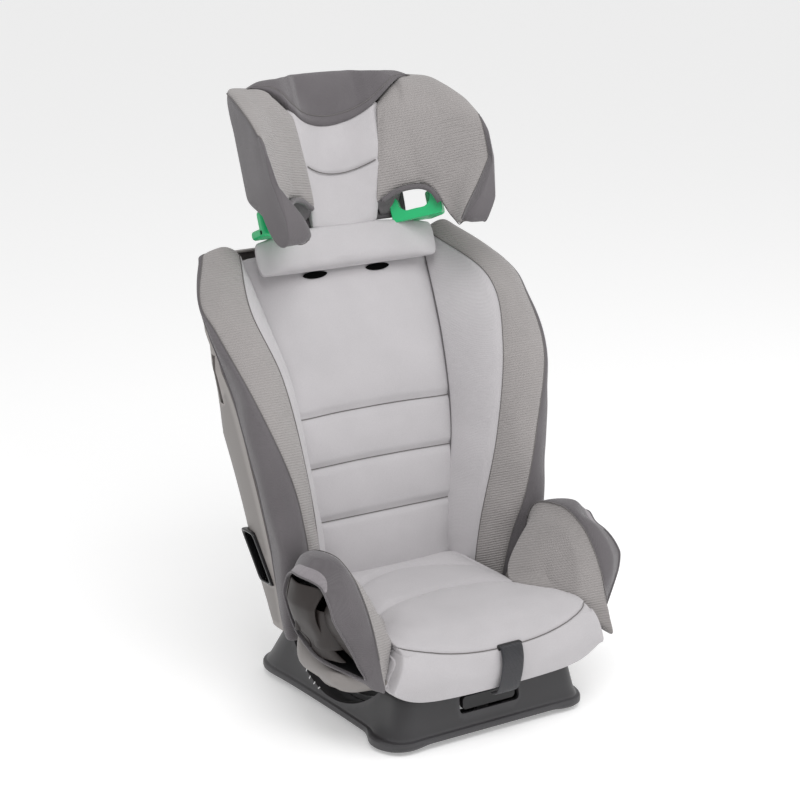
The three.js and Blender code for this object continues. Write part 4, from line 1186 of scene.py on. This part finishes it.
def back_shell():
    """Moulded back with side walls, a turned-in top and shallow ribs on the rear."""
    heights = np.concatenate([np.linspace(112, 600, 90), np.full(6, 600.0)])
    bends = np.concatenate([np.zeros(90), np.linspace(15, 90, 6)])
    outer, inner = [], []
    for z, bend in zip(heights, bends):
        for grid, wall in ((outer, 0.0), (inner, 4.5)):
            half = max(shell_half(z), 40) - wall
            rear = shell_rear(z) - wall
            rim = float(edge_at(REAR_EDGE, z, 1))
            bend_at = np.interp(z, (380, 465, 560), (0.62, 0.36, 0.04))
            tuck = 1 - 0.1 * np.clip((152 - z) / 38, 0, 1)
            side = [(half, rim), (half - 1, lerp(rim, rear, 0.6 * bend_at)),
                    (half - 7, lerp(rim, rear, bend_at)), (half - 26, lerp(rim, rear, lerp(bend_at, 0.9, 0.5))),
                    (half * 0.76 * tuck, lerp(rim, rear, 0.93)), (half * 0.5, rear), (0, rear)]
            right = even(side, 33)
            full = np.vstack([right, right[-2::-1] * (-1, 1)])
            x, y = full.T
            if wall == 0.0:
                flat = ease((half - 60 - abs(x)) / 12) * (y > lerp(rim, rear, 0.9))
                ribs = sum(math.exp(-(((z - level) / 5.0) ** 2)) for level in (240, 330, 420, 510))
                frame_line = ease((z - 190) / 8) * ease((560 - z) / 8)
                y = y - 2.4 * flat * frame_line * (1 - ribs)
            turn_in = math.radians(bend)
            share = np.clip((y - rim) / (rear - rim), 0, 1) * ease((abs(x) - 48) / 12)
            fold = 1 - math.cos(turn_in)
            lift = (9 - wall / 2) * math.sin(turn_in)
            y = y - (26 - wall) * fold * share
            grid.append(np.column_stack([x * (1 - 0.03 * fold), y, z + lift * share]))
    obj = thick_sheet("back_shell_moulding", outer, inner, ["shell_plastic"])
    windows = [block(a, b, 84, 116, 176, 246, BELT_SLANT) for a, b in ((-300, -140), (140, 300))]
    slots = [block(a, b, 106, 118, 432, 500) for a, b in ((-300, -200), (200, 300))]
    return soft_edges(cut_with(obj, *windows, *slots), 1.2)


def belt_frame(side):
    """Glossy slanted frame in the side wall of the back shell, round the belt opening."""
    tall, wide = 36.0, 17.0
    rings = []
    for out, grow in ((-9, 0), (2.5, 0), (4.2, -0.8), (4.6, -2.2), (4.2, -3.6), (2.5, -4.4), (-9, -4.4)):
        a, b = wide + grow, tall + grow
        ring, _ = rounded([(0, -a, -b), (0, a, -b), (0, a, b), (0, -a, b)], 6, (4, 8, 4, 8))
        y = 100 + ring[:, 1] + BELT_SLANT * ring[:, 2]
        z = 211 + ring[:, 2]
        rings.append(np.column_stack([(shell_half(z) + out) * side, y, z]))
    rings = np.array(rings)
    faces = tube_faces(*rings.shape[:2], endless=True)
    node_name = "belt_frame_" + LABELS[side]
    obj = mesh_object(node_name + "_trim", rings.reshape(-1, 3), faces, ["gloss_black"])
    finish_piece(smooth(obj), "seat", "gloss_black", node_name)


# ------------------------------------------------------------------ base
BASE_WIDTH, BASE_LENGTH, WAIST = 152.0, 188.0, 3.0
FRONT_CORNER, REAR_CORNER = 26.0, 60.0
LOBES = [(-127.0, -148.0), (127.0, -148.0), (-107.0, 145.0), (107.0, 145.0)]
LOBE_RADIUS = 35.0
LOBE_BLEND = 12.0
# The walls lean in above LEAN_FROM; full lean is reached LEAN_OVER higher
LEAN_FROM, LEAN_OVER = 30, 58
SIDE_LEAN, FRONT_LEAN, REAR_LEAN = 0.09, 0.04, 0.2


def rubber_feet():
    profile = ((25.5, 12), (27.2, 12.3), (28, 13.2), (28, 17.0), (27, 17.2))
    for (x, y), place in zip(LOBES, ("front_left", "front_right", "rear_left", "rear_right")):
        obj = loft("foot_" + place + "_pad", turned(x, y, profile), ["rubber"])
        finish_piece(obj, "base", "rubber", "foot_" + place)


def bezier(points, count):
    """Points on a Bezier curve, without its last point."""
    p = [np.array(q, float) for q in points]
    out = []
    for t in np.linspace(0, 1, count, endpoint=False):
        row = p
        while len(row) > 1:
            row = [lerp(a, b, t) for a, b in zip(row, row[1:])]
        out.append(row[0])
    return out


def base_plan(grow):
    """Outline of the base, grown outwards by grow; the rear corners are rounder than the front ones."""
    w, l = BASE_WIDTH + grow, BASE_LENGTH + grow
    quarters = []
    for k in (FRONT_CORNER, REAR_CORNER):
        quarter = bezier([(0, -l), (w - k, -l)], 20) + bezier([(w - k, -l), (w, -l), (w, -l + k)], 12)
        quarter += bezier([(w, -l + k), (w - 1, -l * 0.55), (w - WAIST, -l * 0.5), (w - WAIST, 0)], 36)
        quarters.append(np.array(quarter))
    upper = (quarters[1][1:] * (1, -1))[::-1]
    right = np.vstack([quarters[0], [(w - WAIST, 0)], upper, [(0, l)]])
    left = (right[1:-1] * (-1, 1))[::-1]
    return np.vstack([right, left])


def with_lobes(plan, grow, strength):
    """Pushes the outline out to the round foot lobes at the corners."""
    out = plan.copy()
    for centre in LOBES:
        away = out - centre
        reach = np.linalg.norm(away, axis=1)
        gap = LOBE_RADIUS + grow - reach
        push = np.where(gap > -LOBE_BLEND, (gap + LOBE_BLEND) ** 2 / (4 * LOBE_BLEND), 0)
        push = np.where(gap > LOBE_BLEND, gap, push)
        out = out + away / reach[:, None] * (push * strength)[:, None]
    return out


def leaned(plan, z):
    """An outline at height z (one value, or one for each point), where the walls lean in, most at the rear."""
    rise = np.clip((z - LEAN_FROM) / LEAN_OVER, 0, 1)
    lean = np.where(plan[:, 1] > 0, REAR_LEAN, FRONT_LEAN)
    return np.column_stack([plan[:, 0] * (1 - SIDE_LEAN * rise), plan[:, 1] * (1 - lean * rise),
                            np.broadcast_to(np.asarray(z, float), len(plan))])


def base_shell():
    """Hollow shell on four foot lobes, with the recline saddle cut across it."""
    rings = []
    lobed = ((-14, 22, 1), (-4, 21, 1), (-0.5, 20, 1), (1.6, 21.2, 1), (2.2, 23.5, 1), (2.2, 27, 1),
             (1.4, 29, 0.9), (-0.6, 29.9, 0.75), (-1.4, 30.6, 0.6), (-1.3, 32, 0.5), (-1.6, 35, 0.3),
             (-2, 41, 0.12), (-2, 48, 0))
    for grow, z, strength in lobed:
        plan = with_lobes(base_plan(grow), grow, strength)
        near = [ease((LOBE_RADIUS + 14 - np.linalg.norm(plan - c, axis=1)) / 16) for c in LOBES]
        drop = 4.2 * np.max(near, axis=0) * float(np.clip((26 - z) / 5, 0, 1))
        rings.append(leaned(plan, z - drop))
    for z, grow in ((56, -2), (64, -2), (72, -2), (80, -2), (84, -2.8), (87, -5), (88, -8), (88, -30)):
        rings.append(leaned(base_plan(grow), z))
    obj = loft("base_shell_moulding", rings, ["base_plastic"])
    hollow = loft("cutter", [leaned(base_plan(-6.5), z) for z in (20.8, 30, 84)], [])
    cut_with(hollow, saddle(164, 210), block(-130, 130, -140, 300, 60, 200))
    cut_with(obj, hollow, saddle(155, 200), saddle(160, 130), block(-124, 124, -150, 300, 66, 200),
             block(-20, 20, -120, 8, 10, 60), block(-132, 132, -112, 112, 5, 21.5),
             block(-80, 80, -174, 174, 5, 21.5), handle_opening())
    return soft_edges(obj, 1.4, 3, 38)


def handle_opening():
    """Rounded opening through the front wall, with the recline handle behind it."""
    corners = [(-50, 0, 48), (46, 0, 48), (46, 0, 74), (-50, 0, 74)]
    ring, _ = rounded(corners, 7, (4, 2, 4, 2), 5)
    return loft("cutter", [ring + (0, -230, 0), ring + (0, -150, 0)], [])


def recline_marks():
    """Four pale marks beside the recline saddle on each side of the base."""
    for side, label in LABELS.items():
        points, faces = [], []
        for k, (y, z) in enumerate(((53, 50), (42, 43.5), (29, 40), (16, 37.5))):
            tilt = math.radians(-20 - 9 * k)
            up = np.array([0, math.sin(tilt), math.cos(tilt)])
            fore = np.array([0, math.cos(tilt), -math.sin(tilt)])
            wall = (BASE_WIDTH - WAIST - 1.8) * (1 - SIDE_LEAN * max(0, (z - LEAN_FROM) / LEAN_OVER))
            for out, scale in ((-0.6, 1.0), (0.25, 1.0), (0.5, 0.75)):
                for a, b in ((-1, -1), (1, -1), (1, 1), (-1, 1)):
                    spot = np.array([0, y, z]) + fore * a * 0.9 * scale + up * b * 3.2 * scale
                    points.append(spot + ((wall + out) * side, 0, 0))
            base = 12 * k
            faces += tube_faces(3, 4, base) + [tuple(range(base, base + 4)), tuple(range(base + 8, base + 12))]
        finish_piece(mesh_object("recline_marks_" + label, points, faces, ["tick"]), "base", "base_plastic")


# ------------------------------------------------------------------ strap
STRAP_HALF = 17.5


def adjuster_strap():
    """Woven strap that leaves a slot under the front seam and hangs down the apron."""
    path = even([(-218, 149), (-224.5, 149), (-228.5, 143), (-231, 128), (-228, 106), (-221, 86), (-213, 79.5),
                 (-205, 79)], 60)
    ahead = np.gradient(path, axis=0)
    ahead /= np.linalg.norm(ahead, axis=1, keepdims=True)
    out = np.column_stack([ahead[:, 1], -ahead[:, 0]])
    half = [(u * STRAP_HALF, 1.0 - 0.45 * abs(u) ** 10) for u in np.linspace(-1, 1, 13)]
    across = half + [(x, -thick) for x, thick in half[::-1]]
    rings = [[(x, y + oy * thick, z + oz * thick) for x, thick in across]
             for (y, z), (oy, oz) in zip(path, out)]
    obj = loft("adjuster_strap_webbing", rings, ["webbing"])
    finish_piece(smooth(obj), "seat", "webbing", "adjuster_strap")
    low, high = 144, 151
    ring, _ = rounded([(-19, 0, low), (19, 0, low), (19, 0, high), (-19, 0, high)], 3, (10, 3, 10, 3), 4)
    mouth = [ring * (wide, 1, tall) + (0, y, (1 - tall) * (low + high) / 2) for y, wide, tall in
             ((-214, 1, 1), (-223.6, 1, 1), (-224.8, 1, 1), (-224.6, 0.9, 0.82), (-222, 0.86, 0.7))]
    finish_piece(smooth(loft("adjuster_slot_frame", mouth, ["black_plastic"])), "seat", "black_plastic")


# ------------------------------------------------------------------ build everything
def build_soft():
    """Makes every cover, swells them together, then sews, pipes and smooths each one."""
    jobs = []

    def job(made, depth, body, slot_name, *nodes):
        """Notes a cover, made as (object, seam lines, piping lines), with its groove depth."""
        jobs.append((*made, depth, body, slot_name, nodes))
        return made[0]

    for side, label in LABELS.items():
        job(side_wing(side), 1.6, "seat", "fabric_dark", "side_wing_" + label)
        job(arm(side), 1.6, "seat", "fabric_dark", "arm_" + label)
        job(headrest_wing(side), 1.5, "headrest", "fabric_mid", "headrest_wing_" + label)
    job(back_pad(), 4.0, "seat", "fabric_light", "back_pad")
    cushion_cover = job(cushion(), 2.2, "seat", "fabric_light", "seat_cushion")
    centre = job((headrest_centre(), [], []), 0, "headrest", "fabric_light", "headrest_pad")
    job(headrest_cap(), 1.2, "headrest", "fabric_dark")
    neck = job((neck_pad(), [], []), 0, "headrest", "fabric_light", "neck_pad")
    inflate_pads()
    cut_channels(cushion_cover)
    arm_patches()
    smile_seam(centre)
    for obj, lines, piping, depth, body, slot_name, nodes in jobs:
        if lines:
            sew(obj, lines, depth, body)
        if piping:
            spots = coords(obj)
            cord(obj.name + "_piping", [spots[line] for line in piping], PIPING_RADIUS, "fabric_dark", body)
        finish_piece(smooth(obj), body, slot_name, *nodes)
    # The neck pad gets a mesh of its own; the anchor point worked out below is not used.
    anchor = tuple(to_frame(slid(0, 14, 30)).tolist())
    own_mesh(neck)


def build_hard():
    for side in LABELS:
        cup_pocket(side)
        cup_holder(side)
        belt_frame(side)
        belt_guide(side)
        guide_arch(side)
    harness_slots()
    finish_piece(headrest_back(), "headrest", "fabric_dark", "headrest_shell")
    finish_piece(seat_pan(), "seat", "shell_plastic", "seat_shell")
    finish_piece(back_shell(), "seat", "shell_plastic", "back_shell")
    finish_piece(base_shell(), "base", "base_plastic", "base_shell")
    rubber_feet()
    recline_marks()
    adjuster_strap()


SLOT_OF_NODE = {part["node"]: part["material_slot"] for part in frame["record"]["subparts"]}


def dress_cad_nodes():
    """Carried-over hard parts keep their shape and get rounded edges and a finished surface."""
    for name, obj in frame["nodes"].items():
        slot_name = SLOT_OF_NODE[name]
        obj.data.materials.clear()
        obj.data.materials.append(LOOKS[slot_name])
        if not obj.hide_render:
            weld = obj.modifiers.new("weld", "WELD")
            weld.merge_threshold = 0.02 * MM
            soft_edges(obj, 0.6, 2, 30)


# ------------------------------------------------------------------ stage, light and camera
def area_light(name, place, aim, size, power):
    data = bpy.data.lights.new(name, "AREA")
    data.size = size
    data.energy = power
    light = bpy.data.objects.new(name, data)
    light.location = place
    light.rotation_euler = (Vector(aim) - Vector(place)).to_track_quat("-Z", "Y").to_euler()
    bpy.context.scene.collection.objects.link(light)


def build_stage():
    """A large pale floor, a white world that the camera sees a little darker, and two lights."""
    corners = [(x * FLOOR_REACH, y * FLOOR_REACH, FLOOR_Z - 0.5)
               for x, y in ((-1, -1), (1, -1), (1, 1), (-1, 1))]
    floor = mesh_object("floor", corners, [(0, 1, 2, 3)], [])
    pale, _ = shader("pale_floor", Base_Color=(0.86, 0.86, 0.86, 1), Roughness=0.9,
                     Emission_Color=(1, 1, 1, 1), Emission_Strength=0.3)
    floor.data.materials.append(pale)
    world = bpy.data.worlds.new("studio")
    world.use_nodes = True
    nodes, links = world.node_tree.nodes, world.node_tree.links
    nodes["Background"].inputs[0].default_value = (1, 1, 1, 1)
    seen = nodes.new("ShaderNodeMapRange")
    seen.inputs[3].default_value, seen.inputs[4].default_value = 0.62, 1.0
    links.new(nodes.new("ShaderNodeLightPath").outputs["Is Camera Ray"], seen.inputs[0])
    links.new(seen.outputs[0], nodes["Background"].inputs[1])
    bpy.context.scene.world = world
    centre = Vector(to_frame(TARGET))
    area_light("key", centre + Vector((-0.6, -1.6, 2.4)), centre, 1.6, 46)
    area_light("fill", centre + Vector((2.2, -1.2, 1.0)), centre, 2.0, 12)
    bpy.context.scene.view_settings.view_transform = "Standard"


def build_camera():
    back = Vector((math.sin(AZIMUTH) * math.cos(ELEVATION), -math.cos(AZIMUTH) * math.cos(ELEVATION),
                   math.sin(ELEVATION)))
    target = Vector(to_frame(TARGET))
    data = bpy.data.cameras.new("camera")
    data.lens = LENS
    camera = bpy.data.objects.new("camera", data)
    camera.location = target + back * (DISTANCE * MM)
    camera.rotation_euler = back.to_track_quat("Z", "Y").to_euler()
    bpy.context.scene.collection.objects.link(camera)
    bpy.context.scene.camera = camera


build_soft()
build_hard()
dress_cad_nodes()
build_stage()
build_camera()
bpy.context.view_layer.update()
